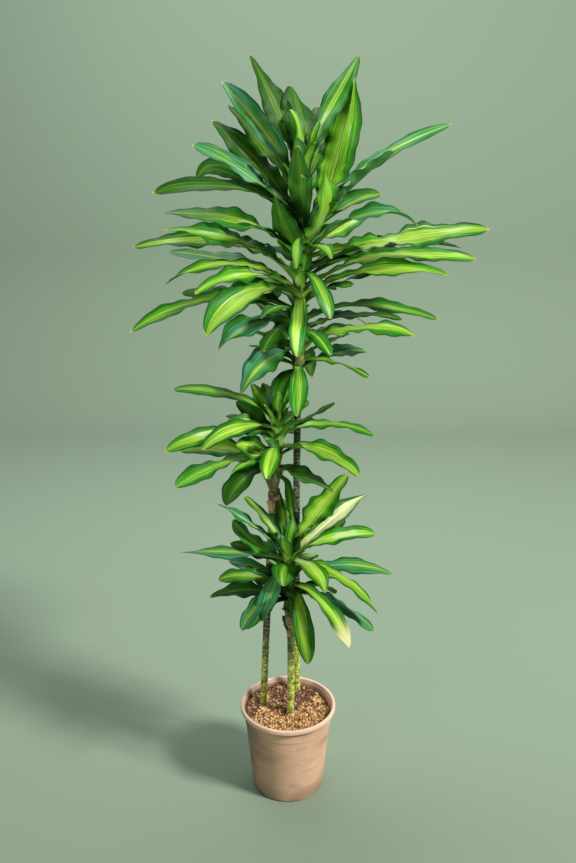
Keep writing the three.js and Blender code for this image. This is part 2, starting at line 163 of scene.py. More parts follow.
def tube(name, grid, values=None, crease=40):
    """A closed body from a grid of rings (ring, turn, xyz) that goes round anticlockwise seen from its far
    end. The points that close its ends take the values of their ring's first point."""
    rings, around = grid.shape[:2]
    points = np.concatenate([grid.reshape(-1, 3), grid[:1].mean(1), grid[-1:].mean(1)])
    faces = [
        ring_faces(rings, around),
        fan_cap(0, around, rings * around, True),
        fan_cap((rings - 1) * around, around, rings * around + 1, False),
    ]
    values = {key: np.concatenate([v.ravel(), v[:1, 0], v[-1:, 0]]) for key, v in (values or {}).items()}
    return mesh_object(name, points, faces, values, crease=crease)


# %% [markdown]
# ## The three stems
# The canes are cuttings that were planted together, so each is nearly straight and leans a little. A line
# from foot to head with a sideways bow is all an axis needs. Up to `crown` the stem is a bare ringed cane,
# and above that it is the leafy shoot, which is thicker because leaf bases wrap it.

# %% Stems
# The ends of the axis, its bow, the heights where the crown starts and ends, and the radii below and in it.
STEMS = {
    "tall": dict(
        foot=(23.5, 83, 205), head=(34, 50, 1580), bow=-7, crown=1062, tip=1560, cane=8.2, shoot=11
    ),
    "middle": dict(
        foot=(-63.5, 26, 205), head=(-20, 20, 1010), bow=-3, crown=822, tip=985, cane=8.4, shoot=10
    ),
    "low": dict(
        foot=(6, -18.5, 205), head=(0, -34, 660), bow=4, crown=432, tip=655, cane=8.6, shoot=11.5
    ),
}
PLANTED = 60  # how deep the visible canes go into the soil
SHOOT_TIP = 4  # the shoot's radius at its top
SHOOT_SWELLS = 0.15  # the share of its height by which it has its own radius
SHOOT_SLIMS = 0.55  # and the share above which it thins


def axis_at(stem, height):
    """The middle of a stem at each height: a straight line from foot to head, bowed in x by half a sine."""
    foot, head = np.array(stem["foot"], float), np.array(stem["head"], float)
    share = (height - foot[2]) / (head[2] - foot[2])
    x = mix(foot[0], head[0], share) + stem["bow"] * np.sin(np.pi * np.clip(share, 0, 1))
    return np.stack([x, mix(foot[1], head[1], share), height + 0 * x], -1)


def round_about(radius, turn):
    """The vectors of that length that point level to each turn."""
    return np.stack([radius * np.cos(turn), radius * np.sin(turn), 0 * radius * turn], -1)


def shoot_radius(stem, height):
    """The stalk's radius: the cane's at the crown's foot, its own soon after, and a slim tip at the top."""
    share = np.clip((height - stem["crown"]) / (stem["tip"] - stem["crown"]), 0, 1)
    swollen = mix(stem["cane"], stem["shoot"], ease(0, SHOOT_SWELLS, share))
    return mix(swollen, SHOOT_TIP, ease(SHOOT_SLIMS, 1, share))


# %% [markdown]
# ## The leaf charts
# One row places one leaf: the height of its root, its heading (0 right, 90 to the back, 180 left, 270 to
# the front), how far out its tip is, how far the tip climbs, the slopes it starts and ends at, its width
# and how far it rolls over. The letters under a chart give each leaf its colouring, in the same order,
# because no two leaves of a corn plant are striped alike. Their brightness also paints shade on leaves
# that stand in shadow and light on a leaf turned away from the lamp, and some carry a painted blue-green
# reflection of the sky.

# %% Leaf charts
TALL_LEAVES = [
    # the upright sheaf at the top
    (1450, 155, 125, 309, 84, 62, 62, -35),
    (1475, 106, 80, 222, 84, 50, 84, 0),
    (1475, 38, 159, 288, 84, 56, 58, 28),
    (1372, 28, 132, 338, 50, 80, 86, 42),
    (1440, 158, 185, 268, 74, 52, 62, -40),
    (1420, 150, 189, 242, 72, 44, 52, -30),
    (1388, 165, 202, 238, 68, 43, 70, -38),
    (1405, 182, 234, 165, 48, 24, 50, -40),
    (1375, 165, 248, 122, 60, -65, 46, -60),
    (1395, 6, 330, 221, 50, 20, 42, 38),
    (1365, 350, 200, 186, 50, 38, 82, 12),
    (1355, 18, 191, 116, 48, 14, 64, 20),
    (1345, 316, 62, 167, 45, 118, 72, 0),
    (1355, 262, 60, 205, 85, 70, 52, 0),
    # arching to the left
    (1375, 190, 324, 96, 76, -8, 50, -35),
    (1320, 178, 310, 109, 56, 4, 56, -46),
    (1272, 188, 299, 121, 52, 8, 60, -40),
    (1260, 176, 382, 90, 62, -12, 52, -40),
    (1225, 162, 326, 120, 60, 14, 56, -25),
    (1242, 192, 303, 33, 54, -32, 46, -28),
    (1245, 206, 252, 14, 48, -30, 54, -22),
    (1190, 165, 290, 55, 46, -5, 54, -15),
    (1170, 178, 225, 75, 50, -10, 42, -20),
    (1205, 190, 385, -32, 29, -26, 52, -28),
    (1240, 222, 266, -62, 32, -50, 86, -24),
    (1172, 210, 206, -36, 28, -46, 72, -22),
    (1104, 146, 130, 51, 40, 22, 46, 0),
    (1120, 124, 185, 105, 50, 35, 44, 0),
    # standing and hanging to the front
    (1300, 236, 100, 165, 84, 62, 62, 0),
    (1315, 203, 150, 90, 62, 10, 46, -15),
    (1260, 284, 55, 85, 78, 60, 40, 0),
    (1212, 338, 130, 60, 55, 5, 40, 0),
    (1195, 233, 140, 10, 55, -35, 42, 0),
    (1150, 302, 130, -25, 45, -45, 40, 0),
    (1290, 300, 130, -85, 25, -62, 44, 0),
    (1232, 266, 102, -112, 40, -78, 42, 12),
    (1078, 268, 106, -92, 20, -75, 46, 0),
    (1120, 220, 168, -82, 8, -52, 72, -22),
    (1075, 194, 130, 5, 38, -42, 34, 0),
    (1084, 178, 115, 46, 45, 10, 26, 0),
    (1370, 262, 90, -60, 20, -55, 26, 0),
    (1338, 302, 120, -8, 35, -60, 44, 0),
    # arching to the right
    (1320, 350, 407, 79, 20, 12, 66, 40),
    (1285, 356, 357, 69, 38, -5, 46, 20),
    (1272, 25, 330, 60, 36, -2, 50, 20),
    (1250, 6, 410, 77, 40, -5, 54, 30),
    (1235, 345, 334, 65, 38, -6, 60, 32),
    (1300, 30, 217, 64, 26, 14, 44, 20),
    (1305, 332, 275, 92, 66, -40, 58, 25),
    (1331, 22, 175, 99, 50, 30, 54, 30),
    (1222, 24, 95, 33, 50, -30, 26, 0),
    (1175, 0, 322, 17, 40, -14, 50, 25),
    (1150, 20, 270, 32, 40, -8, 42, 15),
    (1135, 42, 160, 32, 30, 5, 36, 8),
    (1125, 345, 267, 44, 34, -12, 58, 22),
    (1072, 30, 195, 31, 25, 0, 50, 20),
    (1090, 335, 177, -22, 20, -30, 32, 0),
    (1100, 46, 188, 40, 18, 12, 22, 0),
    # short and broad, round the stem
    (1225, 350, 172, 78, 40, 20, 50, 0),
    (1180, 225, 115, -50, 20, -60, 62, 0),
    (1072, 232, 78, -66, 10, -75, 50, 0),
]
MIDDLE_LEAVES = [
    (935, 175, 245, 100, 74, 2, 44, -20),
    (913, 160, 130, 48, 35, -5, 30, 0),
    (930, 190, 262, -26, 10, -20, 50, -36),
    (936, 208, 190, -18, 30, -38, 56, -25),
    (852, 172, 230, 27, 25, -12, 58, -38),
    (852, 195, 240, -33, 32, -34, 58, -18),
    (860, 225, 138, 5, 25, -20, 24, 0),
    (838, 225, 156, -47, 34, -60, 64, -18),
    (890, 258, 100, -40, 35, -65, 44, 0),
    (840, 334, 154, -32, 12, -30, 64, 0),
    (890, 340, 205, -40, 22, -34, 74, 8),
    (928, 18, 144, 68, 30, 30, 38, 0),
    (915, 2, 232, 8, 40, -27, 52, 12),
    (950, 140, 80, 88, 60, 45, 44, 0),
    (950, 110, 100, 82, 60, 35, 46, 0),
    (872, 205, 98, 42, 30, 10, 64, -50),
    (915, 195, 120, 48, 50, 0, 54, -40),
    (905, 160, 100, 95, 65, 40, 52, -30),
    (960, 86, 92, 95, 70, 50, 44, 0),
    (930, 8, 75, 75, 60, 40, 44, 0),
    (836, 318, 58, -104, 0, -78, 28, 0),
]
LOW_LEAVES = [
    (645, 36, 176, 171, 49, 47, 76, 0),
    (630, 20, 205, 145, 48, 26, 60, 20),
    (628, 8, 210, 64, 48, -6, 50, 25),
    (602, 0, 248, -2, 14, -16, 54, 15),
    (608, 338, 224, -70, 35, -55, 54, 0),
    (625, 308, 135, -22, 42, -55, 58, 0),
    (568, 315, 190, -88, 25, -55, 52, 0),
    (549, 343, 208, -69, 4, -42, 54, 0),
    (555, 292, 114, -137, 20, -75, 50, 0),
    (602, 240, 124, -72, 35, -65, 50, 0),
    (555, 230, 170, -35, 30, -45, 52, 0),
    (528, 212, 128, -38, 20, -40, 46, 0),
    (634, 178, 256, 21, 11, 2, 44, -15),
    (602, 160, 142, 115, 50, 50, 62, -10),
    (598, 164, 148, 62, 35, 10, 44, 0),
    (640, 164, 174, 118, 50, 25, 42, 0),
    (650, 150, 120, 124, 60, 45, 34, 0),
    (555, 168, 150, 64, 40, 10, 44, -15),
    (549, 190, 172, 50, 40, -15, 62, -20),
    (533, 185, 192, 11, 25, -15, 56, -10),
    (646, 76, 50, 78, 75, 60, 28, 0),
    (621, 262, 90, -10, 35, -45, 62, 0),
    (630, 106, 130, 162, 60, 45, 24, 0),
    (612, 56, 125, 44, 35, 0, 34, 0),
]
CHARTS = {"tall": TALL_LEAVES, "middle": MIDDLE_LEAVES, "low": LOW_LEAVES}

# Each letter: brightness, which is painted shade on the dark leaves and painted light on the brightest,
# half width of the striped band, how yellow it is, and a painted blue-green reflection of the sky.
LOOKS = {
    "p": (1.0, 0.3, 0.55, 0.1),  # plain
    "d": (0.54, 0.15, 0.45, 0.0),  # dark: painted shade for leaves in shadow
    "l": (1.08, 0.5, 0.7, 0.0),  # mostly lime
    "w": (1.1, 0.5, 0.8, 0.1),  # pale down the middle
    "b": (1.34, 0.85, 0.5, 0.0),  # lime over nearly its whole width, brightened by painted light
    "c": (1.1, 0.95, 1.3, 0.0),  # cream nearly to its margins
    "t": (1.0, 0.2, 0.8, 0.9),  # with a painted blue-green reflection of the sky
}
DRY_TIP = {"P": 0.05, "W": 0.17}  # share of the length that has dried, where the letter is a capital
DRY_POINT = 0.012  # and of all other leaves
LEAF_LOOKS = {
    "tall": "ddpbtpdtdttpld" "dppltlldPpwtpd" "dppppppwptppwl" "wddwldtwppdtwtlpddd",
    "middle": "pdlwwppdlpldplpwwddpp",
    "low": "lcltllWtlttltpdtltpdppwp",
}
BACK_LOOKS = "pdl"

# %% [markdown]
# ## Leaves at the back
# The front view hides the far side of each crown, and a real crown is just as full there. A rule fills it
# in: the leaves go up the stem in even steps, each takes the next heading from a list that keeps them off
# the other canes, and a seeded draw varies their reach, climb, slope and width.

# %% Leaves at the back
BACK_LEAVES = {
    # The ranges are height, reach, climb, rise and dive, each from the oldest leaf to the youngest.
    "tall": dict(
        headings=[80, 118, 98, 40, 108, 144, 72, 128, 62, 96, 122, 82, 66, 76],
        ranges=[(1082, 1470), (250, 150), (-60, 175), (35, 78), (-45, 45)],
        seed=7,
    ),
    "middle": dict(
        headings=[98, 138, 76, 128, 108, 84],
        ranges=[(845, 955), (190, 160), (-50, 90), (30, 65), (-50, 30)],
        seed=21,
    ),
    "low": dict(
        headings=[48, 110, 64, 102, 34, 96],
        ranges=[(535, 640), (190, 150), (-60, 110), (25, 65), (-50, 35)],
        seed=33,
    ),
}
BACK_WIDTH = (38, 48)
BACK_DRAW = 0.14


def seeded_draws(seed, count):
    """The first numbers, from 0 to 1, of the generator next = 1664525 * last + 1013904223, kept to 32
    bits."""
    state, drawn = seed, []
    for _ in range(count):
        state = (state * 1664525 + 1013904223) % 2**32
        drawn.append(state / 2**32)
    return np.array(drawn)


def back_rows(name):
    """Rows like a chart's: each value goes evenly through its range, times 1 plus or minus up to
    BACK_DRAW."""
    rule = BACK_LEAVES[name]
    heads = np.array(rule["headings"], float)
    age = np.linspace(0, 1, len(heads))[:, None]
    low, high = np.array(rule["ranges"], float).T
    height, reach, climb, rise, dive = mix(low, high, age).T
    drawn = seeded_draws(rule["seed"], 4 * len(heads)).reshape(-1, 4)
    vary = 1 + BACK_DRAW * (2 * drawn - 1)
    wide = mix(*BACK_WIDTH, drawn[:, 3])
    varied = [reach * vary[:, 0], climb * vary[:, 1], rise * vary[:, 2]]
    return np.stack([height, heads, *varied, dive, wide, 0 * heads], -1)


ROWS = {name: np.concatenate([np.array(chart, float), back_rows(name)]) for name, chart in CHARTS.items()}
for name, rows in ROWS.items():
    missing = len(rows) - len(LEAF_LOOKS[name])
    LEAF_LOOKS[name] += (BACK_LOOKS * missing)[:missing]
    print(name, len(rows), "leaves")

# %% [markdown]
# ## One leaf as a function
# A corn plant leaf is a long strap. It clasps the stem with a broad base, is folded into a gutter there,
# opens flat towards its middle and ends in a long point, and its margins wave because they grow a little
# longer than the midrib. So the midrib is a cubic curve, a straight line across it carries the width, and a
# fold and two waves push that line up or down. All leaves of a crown are worked out in one go, in arrays
# with the leaf as the first axis.

# %% Leaf surface
BLADE = dict(
    start_pull=0.36,  # how far the midrib keeps its first and last direction, as shares of the chord
    end_pull=0.36,
    root_radius=4,
    clasp=0.3,  # the width at the root, as a share, and where the clasping part ends
    clasp_end=0.12,
    widening=(0.08, 0.62),
    point_start=0.56,
    point_bend=2.2,
    point_power=0.64,
    tip=1.4,
    rolling=(0.1, 0.6),  # where the roll of the chart comes in
    gutter_base=38,  # degrees that the halves fold up at the root, and where they have opened
    gutter_open=0.55,
    fold_power=1.3,
)
# The margins wave once in `length` mm, and in a shorter ripple. Heights are shares of the width.
WAVE = dict(length=135, height=0.085, lead=0.3)
RIPPLE = dict(often=3.3, height=0.055, lead=-1.4, phase=1.9, fade=0.5)
WAIST_DRAW = (0.38, 0.6)  # the neck of a blade, as a share of its width
WAVE_DRAW = (0.7, 2.0)  # a leaf's waves are so many times as high as that
FOLD_DRAW = (-12, 22)  # degrees that the halves of an open blade fold up
SWAY = 0.02  # how far a midrib bows sideways, as a share of its length
TIP_TWIST = 42  # degrees a tip may turn, over the last part
TWISTING = (0.68, 1)
TIP_CURL = 0.05  # how far a tip may curl under, as a share of the length
CURLING = (0.72, 1.15)
RIB_THICK = 1.9
MARGIN_THICK = 0.7
TIP_THINNER = 0.65  # the share of the rib's thickness that is gone at the tip
GOLDEN = 0.618034
ALONG = 46
ALONG_POWER = 1.06  # the rings lie closer together towards the root
ACROSS = 11
SHEATH = dict(
    rings=5,
    depth=26,  # how far a leaf base reaches down the stem below the root
    span=118,  # degrees that it wraps to each side, which narrow over the first `over` mm
    narrows=0.55,
    over=70,
    gap=0.4,
    flare=0.085,
    leaves=42,  # how far from the root the leaf is all blade
    uv=0.05,  # how far down its pattern goes on
)
TONE_DRAW = (0.84, 1.16)
BAND_DRAW = (0.75, 1.35)
APART = 37.0  # how far apart in the noise the patterns of two leaves lie
ROOM = np.array([list(cad_box[0]), list(cad_box[1])]) / MM  # no leaf reaches further than the solids do


def blade_width(t, wide, waist):
    """A clasping base, a neck, the widest part past the middle, and a long point: a smooth step from base to
    neck, another from neck to full width, and (1 - s^bend)^power over the point, where s runs from 0 to 1."""
    body = mix(waist, 1, ease(*BLADE["widening"], t))
    base = (BLADE["clasp"] - waist) * (1 - ease(0, BLADE["clasp_end"], t))
    pointed = np.clip((t - BLADE["point_start"]) / (1 - BLADE["point_start"]), 0, 1)
    point = (1 - pointed ** BLADE["point_bend"]) ** BLADE["point_power"]
    return np.maximum((body + base) * point * wide, BLADE["tip"])


def midribs(rows, root, out, t):
    """The cubic curves through root and tip that leave at `rise` and arrive at `dive`, their directions,
    and the distance from root to tip."""
    _, _, reach, climb, rise, dive, _, _ = (column[:, None, None] for column in rows.T)
    chord = np.hypot(reach, climb)
    up = np.array([0, 0, 1.0])

    def slope(degrees):
        return np.cos(np.radians(degrees)) * out + np.sin(np.radians(degrees)) * up

    p0 = root + BLADE["root_radius"] * out
    p3 = root + reach * out + climb * up
    p1 = p0 + BLADE["start_pull"] * chord * slope(rise)
    p2 = p3 - BLADE["end_pull"] * chord * slope(dive)
    s = 1 - t
    point = s**3 * p0 + 3 * s * s * t * p1 + 3 * s * t * t * p2 + t**3 * p3
    along = unit(s * s * (p1 - p0) + 2 * s * t * (p2 - p1) + t * t * (p3 - p2))
    return point, along, chord


def leaf_grids(stem, rows, seed):
    """Upper surfaces of all leaves of a crown, as (leaf, ring, across, xyz), with the shares along and across
    them and their lengths.

    blade = midrib + u * half * cos(fold) * side + (|u|^1.3 * half * sin(fold) + u^2 * wave) * face
    sheath = the stem's axis + its radius, turned by u * span away from the leaf's heading
    and a leaf goes over from its sheath to its blade in its first 42 mm."""
    draw = np.random.RandomState(seed)
    count = len(rows)

    def drawn(low, high):
        return draw.uniform(low, high, (count, 1, 1))

    height, heading, _, _, _, _, wide, roll = (column[:, None, None] for column in rows.T)
    turn = np.radians(heading)
    out = np.concatenate([np.cos(turn), np.sin(turn), 0 * turn], -1)
    across = np.concatenate([-np.sin(turn), np.cos(turn), 0 * turn], -1)
    root = axis_at(stem, rows[:, 0])[:, None, :]
    t = np.concatenate([np.zeros(SHEATH["rings"]), np.linspace(0, 1, ALONG) ** ALONG_POWER])[None, :, None]
    hump = np.sin(np.pi * np.clip(t, 0, 1))
    point, along, chord = midribs(rows, root, out, t)
    sway = SWAY * chord * drawn(-1, 1) * hump**2
    curl = TIP_CURL * chord * drawn(0, 1) * ease(*CURLING, t) ** 2
    face = unit(np.cross(along, across))
    point = point + sway * across - curl * face
    tip_twist = np.radians(TIP_TWIST * drawn(-1, 1)) * ease(*TWISTING, t)
    angle = np.radians(roll) * ease(*BLADE["rolling"], t) + tip_twist
    side = np.cross(face, along)
    side, face = (
        side * np.cos(angle) + face * np.sin(angle),
        face * np.cos(angle) - side * np.sin(angle),
    )
    # Across the blade, from its left margin to its right one, closer together near the margins.
    u = np.sin(np.linspace(np.pi / 2, -np.pi / 2, ACROSS))[None, None, :]
    half = blade_width(t, wide, drawn(*WAIST_DRAW)) / 2
    fold = np.radians(mix(BLADE["gutter_base"], drawn(*FOLD_DRAW), ease(0, BLADE["gutter_open"], t)))
    waves = chord / WAVE["length"]
    phase = ((np.arange(count) * GOLDEN) % 1)[:, None, None]
    lead = WAVE["lead"] * np.sign(u)
    swing = WAVE["height"] * wide * np.sin(2 * np.pi * (waves * t + phase + lead))
    rippling = RIPPLE["often"] * waves * t + RIPPLE["phase"] * phase + RIPPLE["lead"] * lead
    ripple = RIPPLE["height"] * wide * np.sin(2 * np.pi * rippling) * (1 - RIPPLE["fade"] * t)
    waving = drawn(*WAVE_DRAW) * (swing + ripple) * hump
    lift = half * np.sin(fold) * np.abs(u) ** BLADE["fold_power"] + u * u * waving
    blade = (
        point[:, :, None]
        + side[:, :, None] * (half * np.cos(fold) * u)[..., None]
        + face[:, :, None] * lift[..., None]
    )
    # The leaf base wraps the stalk, lower and tighter where it starts.
    below = np.linspace(1, 1 / SHEATH["rings"], SHEATH["rings"])
    below = np.concatenate([below, np.zeros(ALONG)])[None, :, None]
    level = np.where(below > 0, height - SHEATH["depth"] * below, point[..., 2:])
    climbed = level - height + SHEATH["depth"]
    radius = shoot_radius(stem, level) + SHEATH["gap"] + SHEATH["flare"] * climbed
    span = np.radians(SHEATH["span"]) * (1 - SHEATH["narrows"] * ease(0, SHEATH["over"], climbed))
    wrap = turn + u * span
    hug = axis_at(stem, level + 0 * wrap) + round_about(radius, wrap)
    away = ease(0, SHEATH["leaves"], (t * chord))[..., None]
    shares = np.broadcast_to(t, (count, t.shape[1], 1)) - SHEATH["uv"] * below
    return mix(hug, blade, away), shares, u, chord


def sheets(name, grid, thick, values, crease=60):
    """Closed thin sheets from a grid (sheet, ring, across, xyz). Each ring runs over the upper face and
    back along the lower one, which lies `thick` behind it along the surface's own normal. The values belong
    to the grid's points, and one more, "under", is 1 on the lower face."""
    count, rings, across = grid.shape[:3]
    normal = unit(np.cross(np.gradient(grid, axis=1), -np.gradient(grid, axis=2)))
    lower = grid - normal * thick[..., None]
    around = 2 * across
    start = (np.arange(count) * rings * around)[:, None, None]
    sides = (ring_faces(rings, around)[None] + start).reshape(-1, 4)
    j = np.arange(across - 1)
    strip = np.stack([j, j + 1, around - 2 - j, around - 1 - j], -1)
    far = (strip[None] + start + (rings - 1) * around).reshape(-1, 4)
    near = (strip[None, :, ::-1] + start).reshape(-1, 4)
    points = np.clip(np.concatenate([grid, lower[:, :, ::-1]], 2).reshape(-1, 3), *ROOM)

    def laid(part):
        whole = np.broadcast_to(part, (count, rings, across))
        return np.concatenate([whole, whole[:, :, ::-1]], 2).ravel()

    read = {
        key: np.stack([laid(part) for part in value], -1) if isinstance(value, tuple) else laid(value)
        for key, value in values.items()
    }
    read["under"] = np.broadcast_to(np.arange(around) >= across, (count, rings, around)).ravel() * 1.0
    return mesh_object(name, points, [sides, near, far], read, read.pop("uv"), crease)


def leaf_mesh(name, stem, rows, looks, seed):
    """The leaves of a crown as sheets, thickest along the rib, with the values that their finish reads."""
    grid, t, u, chord = leaf_grids(stem, rows, seed)
    draw = np.random.RandomState(seed)
    count = len(rows)
    rib = (RIB_THICK - MARGIN_THICK) * (1 - np.abs(u)) ** 2 * (1 - TIP_THINNER * np.clip(t, 0, 1))
    shade, band, yellow, sky_reflection = np.array([LOOKS[letter.lower()] for letter in looks]).T[:, :, None, None]
    width = rows[:, 6][:, None, None]
    values = {
        "uv": (0.5 + 0.5 * u, t),
        "place": (u * width / 2, t * chord, np.arange(count)[:, None, None] * APART),
        "shade": shade * draw.uniform(*TONE_DRAW, (count, 1, 1)),
        "band": band * draw.uniform(*BAND_DRAW, (count, 1, 1)),
        "yellow": yellow,
        "sky_reflection": sky_reflection,
        "dry": np.array([DRY_TIP.get(letter, DRY_POINT) for letter in looks])[:, None, None],
    }
    return sheets(name, grid, MARGIN_THICK + rib, values)


LEAF_SEED = 11
leaves = {}
for number, (name, stem) in enumerate(STEMS.items()):
    leaves[name] = leaf_mesh(f"leaves_{name}", stem, ROWS[name], LEAF_LOOKS[name], LEAF_SEED + number)

# %% [markdown]
# ## Short leaves round the stalk
# Between the long leaves stand short ones: the young leaves that unroll at the tip, and stunted ones lower
# down. They hide the stalk and fill the heart of a crown, and each stands 137.5 degrees on from the last
# one, as in many real shoots.

# %% Short leaves
SHORT_LEAVES = {"tall": (27, 10), "middle": (13, 26), "low": (11, 78)}  # how many, from where over the cane
SHORT = dict(turn=137.5, start=20, below_tip=14, draw=0.25)  # degrees, mm, and a share
SHORT_RANGES = dict(reach=(78, 26), climb=(36, 92), rise=(48, 84), dive=(-20, 62), width=(30, 35))
SHORT_LOOKS = "pldtlwp"
SHORT_SEED = 81


def short_rows(stem, count, first, seed):
    """Rows like a chart's for leaves evenly spaced from the foot of the shoot to its tip, four values in
    each of which are varied by a draw."""
    draw = np.random.RandomState(seed)
    age = (np.arange(count) + 0.5) / count
    level = mix(stem["crown"] + first, stem["tip"] - SHORT["below_tip"], age)
    heading = (np.arange(count) * SHORT["turn"] + SHORT["start"] * seed) % 360
    reach, climb, rise, dive, wide = (mix(*ends, age) for ends in SHORT_RANGES.values())
    vary = 1 + SHORT["draw"] * draw.uniform(-1, 1, (4, count))
    reach, climb, dive, wide = np.array([reach, climb, dive, wide]) * vary
    return np.stack([level, heading, reach, climb, rise, dive, wide, 0 * age], -1)


short = {}
for number, (name, (count, first)) in enumerate(SHORT_LEAVES.items()):
    seed = SHORT_SEED + number
    rows = short_rows(STEMS[name], count, first, seed)
    short[name] = leaf_mesh(f"short_leaves_{name}", STEMS[name], rows, (SHORT_LOOKS * count)[:count], seed)

# %% [markdown]
# ## Dried leaf bases
# When an old leaf falls, its base stays for a while as a papery collar round the stem. Below each crown
# there is a stretch of them, torn at the top and curling away. Each is a sheet bent round the stem whose
# radius opens upwards and whose length is cut ragged by a few sines of the turn.

# %% Dried leaf bases
COLLARS = {"tall": (1020, 1150, 16), "middle": (735, 870, 18), "low": (425, 560, 20)}  # from, to, how many
COLLAR = dict(length=(26, 58), span=(50, 130), flare=(2, 10))
COLLAR_THICK = 0.6
TEAR = dict(depth=0.45, rounding=0.35, waves=((5, 0.6), (11, 0.4)))  # sines of the breadth, and their weights
LOOSE = dict(gap=0.9, opening=0.5, uneven=0.6, lobes=3)  # how a collar stands off the shoot
COLLAR_MOVES = 4
COLLAR_HALF = 14  # half a collar's breadth in its pattern
COLLAR_RINGS = 12
COLLAR_ACROSS = 15
COLLAR_SEED = 91


def collar_mesh(name, stem, low, high, count, seed):
    """P(a, b) = axis + (radius + flare * a^2) * direction(turn + b * span / 2), from b = -1 to 1, with the
    height z0 + a * length * (1 - depth * |sines of b|)."""
    draw = np.random.RandomState(seed)

    def pick(key):
        return draw.uniform(*COLLAR[key], (count, 1, 1))

    number = np.arange(count)[:, None, None] * 1.0
    a = np.linspace(0, 1, COLLAR_RINGS)[None, :, None]
    b = np.linspace(1, -1, COLLAR_ACROSS)[None, None, :]
    foot = np.linspace(low, high, count)[:, None, None] + draw.uniform(-1, 1, (count, 1, 1)) * COLLAR_MOVES
    phase = draw.uniform(0, 2 * np.pi, (count, 1, 2))
    torn = sum(np.abs(np.sin(n * b + phase[..., i : i + 1])) * w for i, (n, w) in enumerate(TEAR["waves"]))
    length = pick("length")
    level = foot + a * length * (1 - TEAR["depth"] * torn) * (1 - TEAR["rounding"] * b * b)
    turn = np.radians(SHORT["turn"]) * number + seed + b * np.radians(pick("span")) / 2
    open_out = pick("flare") * a**2 * (1 + LOOSE["uneven"] * np.sin(LOOSE["lobes"] * b + phase[..., :1]))
    radius = shoot_radius(stem, level) + LOOSE["gap"] + LOOSE["opening"] * a + open_out
    values = {
        "uv": (0.5 + 0.5 * b, a),
        "place": (b * COLLAR_HALF, a * length, number * APART),
        "tone": draw.uniform(0, 1, (count, 1, 1)),
    }
    return sheets(name, axis_at(stem, level) + round_about(radius, turn), COLLAR_THICK + 0 * level, values)


collars = {}
for number, (name, (low, high, count)) in enumerate(COLLARS.items()):
    collars[name] = collar_mesh(f"dried_bases_{name}", STEMS[name], low, high, count, COLLAR_SEED + number)

# %% [markdown]
# ## The shoots and the canes
# Each fallen leaf leaves a ring-shaped scar, so a cane is a row of short joints. The radius swells at every
# scar and drops just under it, the scars are a little tilted and uneven, and the joints get shorter towards
# the crown. One function of height and turn makes the bare cane and the stalk inside the crown alike.

# %% Canes and shoots
TURNS = 40
CANE_STEP = 1.8
CANE_SEED = 51
SHOOT_SEED = 61
SEAM = 0.3  # the bark ends so far under the crown
SCAR = dict(pitch=13.5, crowded=9, moves=(0.85, 1.15), strength=(0.65, 1.25))
SCAR_SHAPE = dict(swell=1.0, width=1.7, dip=0.35, below=3, tilt=1.1, ripple=0.4, ripples=3)
KNOBS = dict(height=0.22, count=5, turn=1.7)  # round each scar
OVAL = dict(height=0.12, length=31)  # the section is a little oval, and turns with the height


def scar_heights(low, high, draw):
    """Heights of the leaf scars, closer together towards the top, each moved a little by a draw."""
    heights = [low]
    while heights[-1] < high:
        share = (heights[-1] - low) / (high - low)
        pitch = mix(SCAR["pitch"], SCAR["crowded"], share)
        heights.append(heights[-1] + pitch * draw.uniform(*SCAR["moves"]))
    return np.array(heights[:-1])


def stalk_mesh(name, stem, low, high, radius_at, seed):
    """radius(z, turn) = plain radius + swell * exp(-(d / width)^2) - dip * exp(-((d + 3) / width)^2), where
    d is the height over the nearest scar, which is itself tilted by a few sines of the turn."""
    draw = np.random.RandomState(seed)
    shape = SCAR_SHAPE
    z = np.arange(low, high, CANE_STEP)[:, None]
    turn = np.linspace(0, 2 * np.pi, TURNS, endpoint=False)[None, :]
    scars = scar_heights(low, high, draw)
    tilt = draw.uniform(-shape["tilt"], shape["tilt"], (len(scars), 3))
    strength = draw.uniform(*SCAR["strength"], len(scars))
    nearest = np.abs(z - scars[None, :]).argmin(1)
    which = nearest[:, None]
    lean = tilt[nearest]
    tilted = lean[:, :1] * np.cos(turn) + lean[:, 1:2] * np.sin(turn)
    uneven = shape["ripple"] * lean[:, 2:] * np.cos(shape["ripples"] * turn + which)
    over = z - (scars[which] + tilted + uneven)
    mark = np.exp(-((over / shape["width"]) ** 2))
    groove = np.exp(-(((over + shape["below"]) / shape["width"]) ** 2))
    radius = radius_at(z) + strength[which] * shape["swell"] * mark - shape["dip"] * groove
    knobs = KNOBS["height"] * np.sin(KNOBS["count"] * turn + KNOBS["turn"] * which) * mark
    radius = radius + knobs + OVAL["height"] * np.sin(2 * turn + z / OVAL["length"])
    grid = axis_at(stem, z[:, 0])[:, None, :] + round_about(radius, turn)
    return tube(name, grid, {"scar": mark}, crease=60)


canes, shoots = {}, {}
for number, (name, stem) in enumerate(STEMS.items()):
    plain = lambda z: stem["cane"] + 0 * z
    swollen = lambda z: shoot_radius(stem, z)
    foot, crown = stem["foot"][2] - PLANTED, stem["crown"]
    canes[name] = stalk_mesh(f"cane_{name}_bark", stem, foot, crown - SEAM, plain, CANE_SEED + number)
    shoots[name] = stalk_mesh(f"shoot_{name}", stem, crown, stem["tip"], swollen, SHOOT_SEED + number)

# %% [markdown]
# ## The pot
# A nursery pot is pressed from thin plastic: a cone with a rolled lip for strength, a faint step where pots
# nest into each other, and holes in the bottom. It is a profile of radius and height turned round the axis.
# Corners are rounded by adding points on small arcs, and the holes are cut with a boolean.

